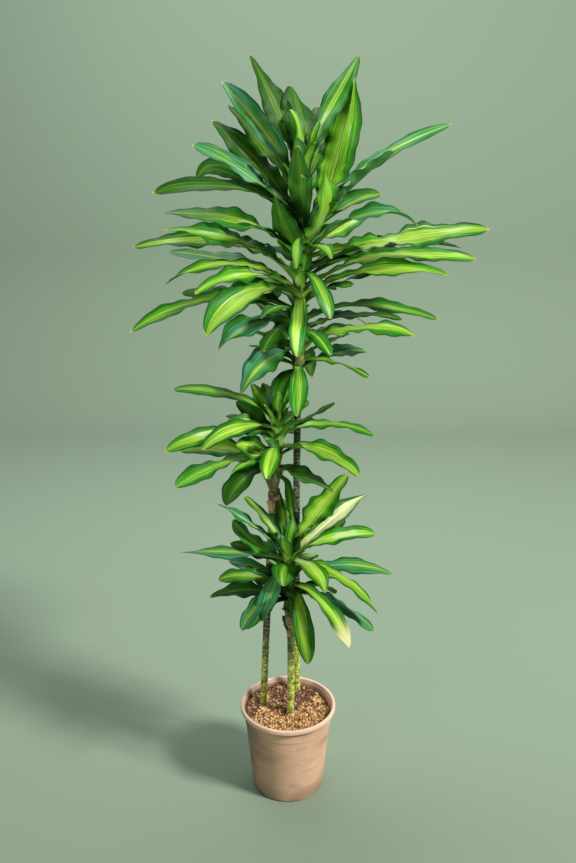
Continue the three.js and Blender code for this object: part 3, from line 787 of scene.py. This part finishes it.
# %% Pot
POT = dict(height=227, rim_radius=120, neck_radius=112.5, foot_radius=90.7, foot_round=6, wall=3.2, floor=4)
POT |= dict(lip_depth=12, lip_thickness=8, mouth_depth=16, step_height=183, step_depth=1.2)
POT_TURNS = 192
LIP_BOTTOM = POT["height"] - POT["lip_depth"]
MOUTH = POT["height"] - POT["mouth_depth"]
STEP_HALF = 1  # half the height over which the step goes in
ROUND = dict(under_lip=1.5, lip_low=2.5, lip_top=3.5, lip_in=3, floor=3)  # radii of the rounded corners
OUTSIDE_ROWS = 90
INSIDE_ROWS = 30
OFF_CORNER = 4  # the straight walls stay so far from rounded corners
OFF_LIP = 2
UNDERSIDE = (20, 60)  # rings of points on the flat faces
FLOOR_RINGS = (40, 15)
DRAIN = dict(count=4, radius=7, ring=58, low=-6, high=10, turns=32)


def wall_radius(z):
    """The outside of the wall: a cone, set in by the step's depth below the step."""
    taper = (POT["neck_radius"] - POT["foot_radius"]) / LIP_BOTTOM
    above = ease(POT["step_height"] - STEP_HALF, POT["step_height"] + STEP_HALF, np.asarray(z, float))
    return POT["foot_radius"] + taper * z - POT["step_depth"] * (1 - above)


def inner_radius(z):
    """The inside of the wall: a straight cone from the floor to the mouth."""
    share = (z - POT["floor"]) / (MOUTH - POT["floor"])
    return mix(wall_radius(POT["floor"]), wall_radius(MOUTH), share) - POT["wall"]


def arc(corner_r, corner_z, size, sides, start, end, count=7):
    """Points on the circle that rounds a corner of the profile, from one angle to another in degrees.
    `sides` says on which side of the corner its middle lies, in radius and in height."""
    angle = np.radians(np.linspace(start, end, count))
    middle = (corner_r + sides[0] * size, corner_z + sides[1] * size)
    return np.stack([middle[0] + size * np.cos(angle), middle[1] + size * np.sin(angle)], -1)


def pot_profile():
    """Radius and height of the pot's section, up the outside, over the lip and down the inside."""
    rim, top, foot = POT["rim_radius"], POT["height"], POT["foot_round"]
    outside = np.linspace(foot + OFF_CORNER, LIP_BOTTOM - OFF_LIP, OUTSIDE_ROWS)
    inside = np.linspace(MOUTH, POT["floor"] + OFF_CORNER, INSIDE_ROWS)
    floor_edge = float(inner_radius(POT["floor"]))
    parts = [
        [[r, 0] for r in UNDERSIDE],
        arc(float(wall_radius(foot)), 0, foot, (-1, 1), -90, 0),
        np.stack([wall_radius(outside), outside], -1),
        arc(float(wall_radius(LIP_BOTTOM)), LIP_BOTTOM, ROUND["under_lip"], (1, -1), 180, 90, 4),
        arc(rim, LIP_BOTTOM, ROUND["lip_low"], (-1, 1), -90, 0),
        arc(rim, top, ROUND["lip_top"], (-1, -1), 0, 90),
        arc(rim - POT["lip_thickness"], top, ROUND["lip_in"], (1, -1), 90, 180),
        np.stack([inner_radius(inside), inside], -1),
        arc(floor_edge, POT["floor"], ROUND["floor"], (-1, 1), 0, -90, 5),
        [[r, POT["floor"]] for r in FLOOR_RINGS],
    ]
    return np.concatenate(parts)


def turned(name, profile, turns):
    """A closed body from a profile that starts and ends near the axis, turned all the way round."""
    angle = np.linspace(0, 2 * np.pi, turns, endpoint=False)[None, :]
    radius, height = profile[:, :1], profile[:, 1:]
    return tube(name, np.stack([radius * np.cos(angle), radius * np.sin(angle), height + 0 * angle], -1))


pot = turned("pot_shell", pot_profile(), POT_TURNS)
for i in range(DRAIN["count"]):
    at = 2 * np.pi * (i + 0.5) / DRAIN["count"]
    section = np.array([[DRAIN["radius"], DRAIN["low"]], [DRAIN["radius"], DRAIN["high"]]], float)
    cutter = turned("drain_cutter", section, DRAIN["turns"])
    shift = np.array([np.cos(at), np.sin(at), 0]) * DRAIN["ring"] * MM
    cutter.data.transform(Matrix.Translation(shift))
    cut = pot.modifiers.new("drain", "BOOLEAN")
    cut.object, cut.operation, cut.solver = cutter, "DIFFERENCE", "EXACT"
    with bpy.context.temp_override(object=pot, active_object=pot):
        bpy.ops.object.modifier_apply(modifier=cut.name)
    bpy.data.objects.remove(cutter)

# %% [markdown]
# ## The soil
# Dry potting mix is a layer of crumbs on a gently uneven bed. The bed is a height field: the slow waves of
# the solid with many finer ones on top. The crumbs are about 2,500 small dented balls of three sizes that
# lie partly sunk in it, because only real little bodies give the dark gaps and the ragged outline.

# %% Soil
SOIL = dict(
    level=207,
    tilt_x=-0.022,
    tilt_y=0.012,
    waves=[(64, 190, 1.3, 1.6), (-150, 58, 0.4, 1.3), (82, 77, 2.2, 1.1), (-44, 96, 4.0, 0.8)],
)
BED = dict(turns=220, rings=84, bottom=150, bottom_radius=20, edge_below=8, heart=0.015, calm=6)
BED_GAPS = (0.4, 0.3)  # between the soil and the wall, at the bottom and at the top
RELIEF = dict(longest=24, shortest=4, count=26, height=0.04, seed=5)
CRUMB = dict(stretch=(0.6, 1.2), dents=3, dent_depth=0.16, wall_gap=5, wall_at=200, raised=0.12)


def soil_height(x, y):
    """level + tilt + the sum of swell * sin(2 pi (x / length_x + y / length_y) + phase)."""
    height = SOIL["level"] + SOIL["tilt_x"] * x + SOIL["tilt_y"] * y
    for along_x, along_y, phase, swell in SOIL["waves"]:
        height = height + swell * np.sin(2 * np.pi * (x / along_x + y / along_y) + phase)
    return height


def fine_relief(x, y):
    """A sum of sines in seeded directions, with lengths from 24 mm down to 4 mm and heights in proportion."""
    draw = np.random.RandomState(RELIEF["seed"])
    relief = 0 * x
    for length in np.geomspace(RELIEF["longest"], RELIEF["shortest"], RELIEF["count"]):
        heading, phase = draw.uniform(0, 2 * np.pi, 2)
        forward = x * np.cos(heading) + y * np.sin(heading)
        relief = relief + RELIEF["height"] * length * np.sin(2 * np.pi * forward / length + phase)
    return relief


def soil_bed():
    """Closed body: the bottom, the side along the pot's wall, and the height field in rings towards the
    middle."""
    turn = np.linspace(0, 2 * np.pi, BED["turns"], endpoint=False)[None, :]
    edge = float(inner_radius(SOIL["level"] - BED["edge_below"])) - BED_GAPS[1]
    bottom = [BED["bottom_radius"], inner_radius(BED["bottom"]) - BED_GAPS[0]]
    radius = np.concatenate([bottom, np.linspace(1, BED["heart"], BED["rings"]) * edge])[:, None]
    x, y = radius * np.cos(turn), radius * np.sin(turn)
    z = soil_height(x, y) + fine_relief(x, y) * ease(edge, edge - BED["calm"], radius)
    z[:2] = BED["bottom"]
    return tube("soil_bed", np.stack([x, y, z], -1), crease=180)


def small_ball():
    """The 12 points and 20 faces of an icosahedron."""
    made = bmesh.new()
    bmesh.ops.create_icosphere(made, subdivisions=1, radius=1)
    points = np.array([v.co for v in made.verts])
    faces = np.array([[v.index for v in f.verts] for f in made.faces])
    made.free()
    return points, faces


def crumbs_mesh(name, count, sizes, seed):
    """Dented balls: each copy of the ball is stretched along three axes, dented by sines of its own points,
    turned and set on the bed with its middle a little above it."""
    draw = np.random.RandomState(seed)
    points, faces = small_ball()
    size = draw.uniform(*sizes, (count, 1, 1)) * draw.uniform(*CRUMB["stretch"], (count, 1, 3))
    dents = draw.normal(0, CRUMB["dents"], (count, 3, 2))
    lumps = 1 + CRUMB["dent_depth"] * np.sin(points @ dents).sum(-1)[..., None]
    frames = np.linalg.qr(draw.normal(size=(count, 3, 3)))[0]
    frames *= np.sign(np.linalg.det(frames))[:, None, None]
    body = (points[None] * lumps * size) @ frames
    furthest = float(inner_radius(CRUMB["wall_at"])) - CRUMB["wall_gap"]
    where = np.sqrt(draw.uniform(0, 1, count)) * furthest
    turn = draw.uniform(0, 2 * np.pi, count)
    x, y = where * np.cos(turn), where * np.sin(turn)
    ground = soil_height(x, y) + fine_relief(x, y)
    body = body + np.stack([x, y, ground + CRUMB["raised"] * size[:, 0, 2]], -1)[:, None]
    all_faces = (faces[None] + (np.arange(count) * len(points))[:, None, None]).reshape(-1, 3)
    tone = np.repeat(draw.uniform(0, 1, count), len(points))
    return mesh_object(name, body.reshape(-1, 3), [all_faces], {"tone": tone}, crease=50)


bed = soil_bed()
crumbs = [
    # name, how many, the smallest and largest size, seed
    crumbs_mesh("soil_crumbs_fine", 1300, (1.2, 2.4), 71),
    crumbs_mesh("soil_crumbs_middle", 900, (2.3, 3.8), 72),
    crumbs_mesh("soil_crumbs_coarse", 260, (3.6, 5.6), 73),
]

# %% [markdown]
# ## Writing shader maths as Python
# A material is a graph of nodes, and long sums are hard to read as a graph. `Value` wraps a socket so that
# Python's operators make the Math nodes, and `Finish` is a material with one method that makes any node. A
# finish is then a list of coats, each a share from 0 to 1 and a colour, laid over one another in turn.


# %% Shader expressions
class Value:
    """An output socket that can be added, subtracted and multiplied, and made positive with abs."""

    def __init__(self, finish, socket):
        self.finish, self.socket = finish, socket

    def math(self, operation, *operands):
        return self.finish.node("Math", dict(enumerate(operands)), operation=operation)

    def __add__(self, other):
        return self.math("ADD", self, other)

    def __sub__(self, other):
        return self.math("SUBTRACT", self, other)

    def __rsub__(self, other):
        return self.math("SUBTRACT", other, self)

    def __mul__(self, other):
        return self.math("MULTIPLY", self, other)

    def __abs__(self):
        return self.math("ABSOLUTE", self)

    __radd__ = __add__
    __rmul__ = __mul__


def linear(colour):
    """Three numbers from 0 to 255, as on a screen, taken through the sRGB curve to the linear values that
    nodes take. A socket stays as it is."""
    if isinstance(colour, Value):
        return colour
    channels = np.array(colour) / 255
    bright = np.where(channels <= 0.04045, channels / 12.92, ((channels + 0.055) / 1.055) ** 2.4)
    return (*(float(c) for c in bright), 1.0)


class Finish:
    """A material under construction. Every node of it is made by `node`."""

    def __init__(self, name):
        self.material = bpy.data.materials.new(name)
        self.material.use_nodes = True
        self.tree = self.material.node_tree
        self.tree.nodes.clear()

    def node(self, kind, sockets=None, output=0, **settings):
        """A new node of this type. The settings are set first, then each socket gets a number or a link."""
        made = self.tree.nodes.new("ShaderNode" + kind)
        for key, value in settings.items():
            setattr(made, key, value)
        for key, value in (sockets or {}).items():
            if isinstance(value, Value):
                self.tree.links.new(value.socket, made.inputs[key])
            else:
                made.inputs[key].default_value = value
        return Value(self, made.outputs[output]) if made.outputs else made

    def value(self, name, output="Fac"):
        """A named value of the mesh's points."""
        return self.node("Attribute", output=output, attribute_name=name)

    def place(self):
        """The place in the object, in metres."""
        return self.node("TexCoord", output="Object")

    def part(self, vector, which):
        """The x, y or z of a vector."""
        return self.node("SeparateXYZ", {0: vector}, which)

    def uv(self, which):
        """The share across a sheet, X, or along it, Y."""
        return self.part(self.node("UVMap", uv_map="uv"), which)

    def scaled(self, vector, factors):
        """The vector with its three parts multiplied by three numbers."""
        return self.node("VectorMath", {0: vector, 1: factors}, operation="MULTIPLY")

    def noise(self, vector, factors, detail, roughness=0.55):
        """Smooth noise around 0.5 over the scaled vector."""
        vector = self.scaled(vector, factors)
        return self.node("TexNoise", {"Vector": vector, "Scale": 1, "Detail": detail, "Roughness": roughness})

    def step(self, low, high, value):
        """0 below low and 1 above high, smoothly."""
        sockets = {"Value": value, "From Min": low, "From Max": high}
        return self.node("MapRange", sockets, interpolation_type="SMOOTHSTEP")

    def blend(self, share, a, b, how="MIX"):
        """Colour a where share is 0 and b, or a with b laid over it in another blend mode, where it is 1."""
        sockets = {0: share, 6: linear(a), 7: linear(b)}
        return self.node("Mix", sockets, 2, data_type="RGBA", blend_type=how)

    def coats(self, skin, *coats):
        """The colour with each coat, a share and a colour, laid over it in turn."""
        for share, colour in coats:
            skin = self.blend(share, skin, colour)
        return skin

    def grey(self, value):
        """A number as a grey colour."""
        return self.node("CombineColor", {0: value, 1: value, 2: value})

    def bump(self, height, distance, strength):
        """The normal that a relief of that height gives."""
        return self.node("Bump", {"Height": height, "Distance": distance, "Strength": strength})

    def close(self, **sockets):
        """The shader itself and the material's output."""
        names = {key.replace("_", " "): value for key, value in sockets.items()}
        self.node("OutputMaterial", {"Surface": self.node("BsdfPrincipled", names)})
        return self.material


# %% [markdown]
# ## The striped leaf
# The band down the middle is not painted on with clean edges: it is made of dozens of fine stripes, some of
# which stop half way, and they thin out sideways. So noise stretched along the leaf decides, stripe by
# stripe, how far the band reaches. The rest is laid over it in turn: a cream heart, a pale base, a painted
# blue-green reflection of the sky on some leaves, a dark outline, pale patches of painted sheen, a paler
# underside, each leaf's brightness, which paints shade on dark leaves and light on the brightest, and a dry
# brown tip.


# %% Leaf finish
def leaf_finish():
    f = Finish("leaf_striped")
    place = f.value("place", "Vector")
    along, sideways = f.uv("Y"), f.uv("X")
    under, dry, yellow = f.value("under"), f.value("dry"), f.value("yellow")
    fine = f.noise(place, (0.46, 0.005, 1), 2)
    broad = f.noise(place, (0.2, 0.006, 1.7), 2)
    drift = f.noise(place, (0.03, 0.011, 0.6), 1)
    aside = f.noise(place, (0, 0.004, 2.3), 1)
    off_middle = abs(sideways * 2 - 1 + (aside - 0.5) * 0.9)
    across = abs(sideways * 2 - 1)
    reach = off_middle + (fine - 0.5) * 0.7 + (broad - 0.5) * 1.5 + (drift - 0.5) * 0.5
    band = f.value("band") * (1.2 - along * 0.5)
    in_band = 1 - f.step(band - 0.06, band + 0.1, reach)
    in_heart = 1 - f.step(band * 0.05, band * 0.5, reach)
    lone_stripe = f.step(0.58, 0.66, broad) * f.step(0.42, 0.6, fine) * (1 - f.step(0.66, 0.9, across))
    line = f.step(0.36, 0.64, fine)
    rib = 1 - f.step(0.0, 0.05, across)
    green = f.coats(
        f.blend(line, (12, 58, 4), (48, 126, 12)),
        (f.step(0.35, 0.7, drift) * 0.6, (40, 114, 16)),
        (f.step(0.55, 1.0, across) * 0.65, (14, 62, 8)),
        (lone_stripe * (0.2 + yellow * 0.5), (112, 176, 36)),
    )
    lime = f.blend(yellow, (78, 156, 24), (170, 198, 66))
    lime = f.blend(0.12 + line * 0.85, f.blend(0.8, lime, (96, 158, 72), "MULTIPLY"), lime)
    cream = f.blend(yellow, (142, 180, 70), (218, 218, 138))
    cream_share = in_heart * yellow * 0.55 * f.step(0.4, 0.6, broad * 0.7 + fine * 0.3)
    ivory = f.step(1.0, 1.3, yellow) * in_band
    pale_base = (1 - f.step(0.02, 0.26, along)) * yellow
    # A painted blue-green reflection of the sky, on the leaves that have it.
    sky_reflection_share = f.value("sky_reflection") * (1 - in_band * 0.6) * f.step(0.2, 0.8, drift + broad - 0.5)
    outline = f.step(0.84, 0.97, across) * (0.35 + drift * 0.5)
    skin = f.coats(
        green,
        (in_band * (0.5 + f.step(0.34, 0.58, drift) * 0.45), lime),
        (cream_share, cream),
        (ivory * (0.5 + line * 0.4), (226, 228, 180)),
        (pale_base * (0.2 + fine * 0.8), (162, 184, 84)),
        # painted blue-green reflection of the sky
        (sky_reflection_share * 0.85, f.blend(line, (30, 86, 70), (88, 158, 134))),
        (outline, (22, 56, 10)),
        (rib * 0.16, (182, 204, 104)),
        # pale patches of painted sheen
        (f.step(0.58, 0.72, drift) * (0.06 + in_band * 0.4), (186, 206, 168)),
        (under * 0.35, (74, 132, 36)),
    )
    # Each leaf's brightness: painted shade on the dark leaves and painted light on the brightest.
    skin = f.blend(1.0, skin, f.grey(f.value("shade")), "MULTIPLY")
    dried_at = along + (fine - 0.5) * (0.02 + dry * 0.9) + f.step(0.7, 1.0, across) * 0.02
    crisp = f.step(1.0 - dry * 1.7, 1.0 - dry * 0.4, dried_at)
    brown = f.blend(fine, (108, 86, 50), (198, 180, 126))
    skin = f.blend(crisp, skin, f.blend(f.step(0.08, 0.12, dry) * 0.6, brown, (210, 214, 158)))
    return f.close(
        Base_Color=skin,
        Roughness=0.42 + fine * 0.12 + under * 0.15 + crisp * 0.2,
        IOR=1.34,
        Specular_IOR_Level=0.24,
        Normal=f.bump(fine * 0.6 + broad * 0.4 - rib * 0.8, 0.0013, 0.9),
    )


# %% [markdown]
# ## Bark, plastic and potting mix
# The canes are green near the soil and olive to grey-brown higher up, with a cork-coloured line at every
# scar, and painted shade in the creases by the scars and in the hollows of the bark. The pot's plastic is a
# matt tan with a paler rubbed lip, faint turned lines and scuffs, with painted shade on its left side, under
# its lip and inside its wall. Each crumb of the mix has its own tone, the hollows between them are dark, and
# patches of painted shade lie on the soil, more of them towards the back.


# %% Other finishes
def bark_finish():
    f = Finish("cane_bark_green")
    place, scar = f.place(), f.value("scar")
    streak = f.noise(place, (420, 420, 40), 3)
    blotch = f.noise(place, (80, 80, 105), 2)
    patch = f.noise(place, (40, 40, 26), 2)
    # Darker and browner higher up the cane.
    upper_share = f.step(0.31, 0.44, f.part(place, "Z") + (patch - 0.5) * 0.16)
    lower_cane_colour = f.blend(streak, (104, 134, 28), (184, 198, 80))
    upper_cane_colour = f.blend(streak, (22, 30, 18), (66, 76, 42))
    # Painted shade in the hollows of the bark, where the blotch relief is low.
    hollow_shade = f.blend(upper_share, (40, 70, 12), (14, 18, 12))
    cork = f.blend(upper_share, (222, 220, 134), (150, 142, 130))
    scarred = 0.3 + f.step(0.46, 0.58, patch * 0.4 + blotch * 0.6) * 0.7
    # Painted shade in the crease round each scar.
    crease = f.step(0.02, 0.16, scar) * (1 - f.step(0.2, 0.45, scar))
    skin = f.coats(
        f.blend(upper_share, lower_cane_colour, upper_cane_colour),
        (f.step(0.5, 0.6, blotch) * (0.95 - upper_share * 0.78), (216, 220, 116)),
        # painted shade in the hollows
        ((1 - f.step(0.34, 0.44, blotch)) * 0.75, hollow_shade),
        (f.step(0.45, 0.9, scar) * scarred, cork),
        # painted shade in the creases
        (crease * 0.85, (22, 28, 10)),
    )
    relief = f.bump(streak * 0.4 + blotch * 0.6, 0.002, 0.8)
    return f.close(Base_Color=skin, Roughness=0.42 + streak * 0.2 + scar * 0.15, Normal=relief)


def shoot_finish():
    f = Finish("shoot_stalk_green")
    place = f.place()
    streak = f.noise(place, (380, 380, 22), 3)
    patch = f.noise(place, (60, 60, 40), 2)
    skin = f.coats(
        f.blend(streak, (84, 112, 34), (176, 186, 96)),
        (f.step(0.45, 0.7, patch) * 0.7, (150, 128, 84)),
        (f.step(0.3, 0.9, f.value("scar")) * 0.7, (92, 74, 44)),
    )
    return f.close(Base_Color=skin, Roughness=0.55 + streak * 0.2, Normal=f.bump(streak, 0.001, 0.8))


def collar_finish():
    f = Finish("dried_base_papery")
    place, tone = f.value("place", "Vector"), f.value("tone")
    fibre = f.noise(place, (1.3, 0.05, 1), 3)
    stain = f.noise(place, (0.12, 0.06, 1), 2)
    height = f.part(f.place(), "Z")
    lowest = 1 - f.step(0.6, 0.7, height)
    rusty = f.step(0.7, 0.72, height) * (1 - f.step(0.775, 0.82, height))
    skin = f.coats(
        f.blend(fibre, (110, 94, 58), (214, 200, 150)),
        (lowest * (0.6 + f.step(0.3, 0.6, tone) * 0.4), f.blend(fibre, (26, 30, 16), (84, 90, 54))),
        (f.step(0.55, 0.75, tone) * (1 - f.uv("Y") * 0.5), f.blend(fibre, (62, 82, 28), (148, 164, 84))),
        (f.step(0.5, 0.7, stain) * 0.8, (70, 42, 30)),
        (rusty * (0.35 + fibre * 0.6), (122, 62, 42)),
    )
    return f.close(Base_Color=skin, Roughness=0.78, Normal=f.bump(fibre, 0.0008, 0.9))


LIP_AT = (0.2, 0.2145, 0.2165)  # metres: where the shade under the lip starts, and the lip, and its full tone
INSIDE = (0.0875, 0.1014)  # the radius that parts the wall's inside from its outside, and how it grows


def plastic_finish():
    f = Finish("pot_plastic_tan")
    place = f.place()
    height = f.part(place, "Z")
    cloud = f.noise(place, (8, 8, 11), 2)
    # Soft darker patches at random.
    dark_patch = f.noise(place, (10, 10, 15), 1)
    smear = f.noise(place, (16, 16, 60), 3, 0.6)
    lines = f.noise(place, (6, 6, 900), 1)
    scuff = f.noise(place, (70, 70, 200), 4, 0.7)
    speck = f.noise(place, (620, 620, 620), 1)
    # Painted shade on the pot's left side, away from the key light, with a ragged edge from the cloud noise.
    left_side_shade = f.step(0.01, 0.115, (cloud - 0.5) * 0.1 - f.part(place, "X"))
    lip = f.step(LIP_AT[1], LIP_AT[2], height)
    under_lip = f.step(LIP_AT[0], LIP_AT[1], height) * (1 - lip)
    # Darker towards the bottom, in streaks from the smear noise.
    low_darkening = (1 - f.step(0.0, 0.05, height)) * (0.25 + smear * 0.7)
    level = f.scaled(place, (1, 1, 0))
    radius = f.node("VectorMath", {0: level}, 1, operation="LENGTH")
    outward = radius - (INSIDE[0] + height * INSIDE[1])
    skin = f.coats(
        f.blend(cloud, (198, 153, 126), (224, 188, 160)),
        (f.step(0.52, 0.7, cloud) * 0.5, (204, 158, 144)),
        (f.step(0.48, 0.74, dark_patch) * 0.62, (136, 106, 92)),
        (f.step(0.45, 0.75, smear) * 0.28, (150, 116, 94)),
        # painted shade on the left side
        (left_side_shade * 0.78, (106, 86, 76)),
        (lip * 0.6, (226, 196, 172)),
        (f.step(0.6, 0.72, scuff) * 0.45, (236, 208, 176)),
        (under_lip * 0.4, (112, 82, 62)),
        # darker towards the bottom
        (low_darkening * 0.7, (112, 84, 62)),
        # painted shade on the inside of the wall
        ((1 - f.step(-0.004, -0.002, outward)) * (1 - lip) * 0.75, (84, 58, 42)),
    )
    return f.close(
        Base_Color=skin,
        Roughness=0.46 + scuff * 0.16 + lines * 0.06 + smear * 0.08,
        Normal=f.bump(lines * 0.4 + speck * 0.3 + scuff * 0.3, 0.0005, 0.6),
    )


def soil_shade_patches(f, place):
    """Patches of painted shade, dark and a little purple, more of them towards the back: 1 in their middle.
    """
    return f.step(0.48, 0.6, f.noise(place, (17, 17, 17), 3) + f.part(place, "Y") * 2.2)


def bed_finish():
    f = Finish("soil_bed_dark")
    place = f.place()
    grain = f.noise(place, (420, 420, 420), 4, 0.7)
    skin = f.blend(f.step(0.35, 0.65, grain), (44, 26, 20), (168, 122, 78))
    # patches of painted shade on the bed
    skin = f.blend(soil_shade_patches(f, place) * 0.75, skin, (58, 34, 30))
    return f.close(Base_Color=skin, Roughness=0.95, Normal=f.bump(grain, 0.003, 0.9))


def crumb_finish():
    f = Finish("soil_crumb_tan")
    place, tone = f.place(), f.value("tone")
    grain = f.noise(place, (700, 700, 700), 3, 0.7)
    skin = f.coats(
        f.blend(f.step(0.0, 1.0, tone), (170, 120, 76), (236, 198, 142)),
        ((1 - f.step(0.0, 0.2, tone)) * 0.9, (58, 34, 24)),
        (f.step(0.45, 0.7, grain) * 0.45, (112, 72, 44)),
        # patches of painted shade on the crumbs
        (soil_shade_patches(f, place) * (0.85 - f.step(0.7, 0.9, tone) * 0.5), (84, 50, 42)),
    )
    return f.close(Base_Color=skin, Roughness=0.92, Normal=f.bump(grain, 0.0015, 0.8))


# %% [markdown]
# ## Dressing the frame
# Each piece gets its finish, rides on the plant's one body, and stands in for the solid that it shows in
# detail.

# %% Dressing
DRESS = [(pot, plastic_finish(), "pot_plastic", "pot"), (bed, bed_finish(), "potting_soil", "soil")]
crumb_material = crumb_finish()
DRESS += [(piece, crumb_material, "potting_soil", "soil") for piece in crumbs]
leaf_material = leaf_finish()
STEM_PIECES = [
    (canes, bark_finish(), "cane_bark", "cane"),
    (shoots, shoot_finish(), "leaf", "crown"),
    (collars, collar_finish(), "leaf", "crown"),
    (leaves, leaf_material, "leaf", "crown"),
    (short, leaf_material, "leaf", "crown"),
]
for name in STEMS:
    DRESS += [(made[name], material, slot, f"{node}_{name}") for made, material, slot, node in STEM_PIECES]
for piece, material, slot, node in DRESS:
    piece.data.materials.clear()
    piece.data.materials.append(material)
    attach(piece, "root")
    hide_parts(node)
print(len(DRESS), "pieces dressed")

# %% [markdown]
# ## The studio
# A pale floor that curves up into a backdrop, a large soft key light high on the right, a weak fill on the
# left that is kept off the pot, a little light from behind, and one light for the backdrop.

# %% Studio
FLOOR_HALF = 6.0
BACKDROP_AT = 3.4
BACKDROP_TOP = 7
CURVE = 1.2
CURVE_POINTS = 20


def backdrop():
    """A floor, a quarter circle and a wall, as one profile along x."""
    angle = np.radians(np.linspace(-90, 0, CURVE_POINTS))
    bend = np.stack([BACKDROP_AT + CURVE * np.cos(angle), CURVE + CURVE * np.sin(angle)], -1)
    profile = np.concatenate([[[-FLOOR_HALF, 0]], bend, [[BACKDROP_AT + CURVE, BACKDROP_TOP]]]) / MM
    x = np.array([-FLOOR_HALF, FLOOR_HALF])[None, :] / MM
    y, z = profile[:, :1], profile[:, 1:]
    grid = np.stack([x + 0 * y, y + 0 * x, z + 0 * x], -1)
    rows = np.arange(len(profile) - 1)[:, None] * 2
    faces = np.concatenate([rows, rows + 1, rows + 3, rows + 2], 1)
    return mesh_object("studio_floor", grid.reshape(-1, 3), [faces], crease=60)


floor = backdrop()
paper = Finish("studio_paper")
floor.data.materials.append(paper.close(Base_Color=linear((119, 137, 119)), Roughness=0.95))

LIGHTS = [
    # name, place, aim, size, watts, colour
    ("key", (5.4, -3.1, 6.0), (0, 0, 0.8), 1.4, 1070, (1.0, 0.97, 0.91)),
    ("fill", (-1.7, -2.1, 1.3), (0, 0, 1.4), 1.0, 9, (0.97, 1.0, 0.97)),
    ("back", (-0.8, 2.2, 2.9), (0, 0, 1.2), 1.4, 8, (1.0, 1.0, 1.0)),
    ("wall", (-0.5, 1.2, 3.9), (-0.5, 4.3, 0.4), 2.6, 140, (1.0, 1.0, 1.0)),
]
SPREAD = {"fill": 55}  # degrees
WORLD_COLOUR = (0.92, 1.0, 0.82, 1)
WORLD_STRENGTH = 0.17
for name, place, aim, size, watts, tint in LIGHTS:
    lamp = bpy.data.lights.new(name, "AREA")
    lamp.size, lamp.energy, lamp.color = size, watts, tint
    lamp.spread = math.radians(SPREAD.get(name, 180))
    light = bpy.data.objects.new(name, lamp)
    bpy.context.scene.collection.objects.link(light)
    direction = np.array(aim, float) - np.array(place, float)
    yaw = math.atan2(direction[1], direction[0]) - math.pi / 2
    pitch = math.acos(-direction[2] / np.linalg.norm(direction))
    light.location = place
    light.rotation_euler = (pitch, 0, yaw)

world = bpy.data.worlds.new("studio")
bpy.context.scene.world = world
world.use_nodes = True
background = world.node_tree.nodes["Background"]
background.inputs["Color"].default_value = WORLD_COLOUR
background.inputs["Strength"].default_value = WORLD_STRENGTH
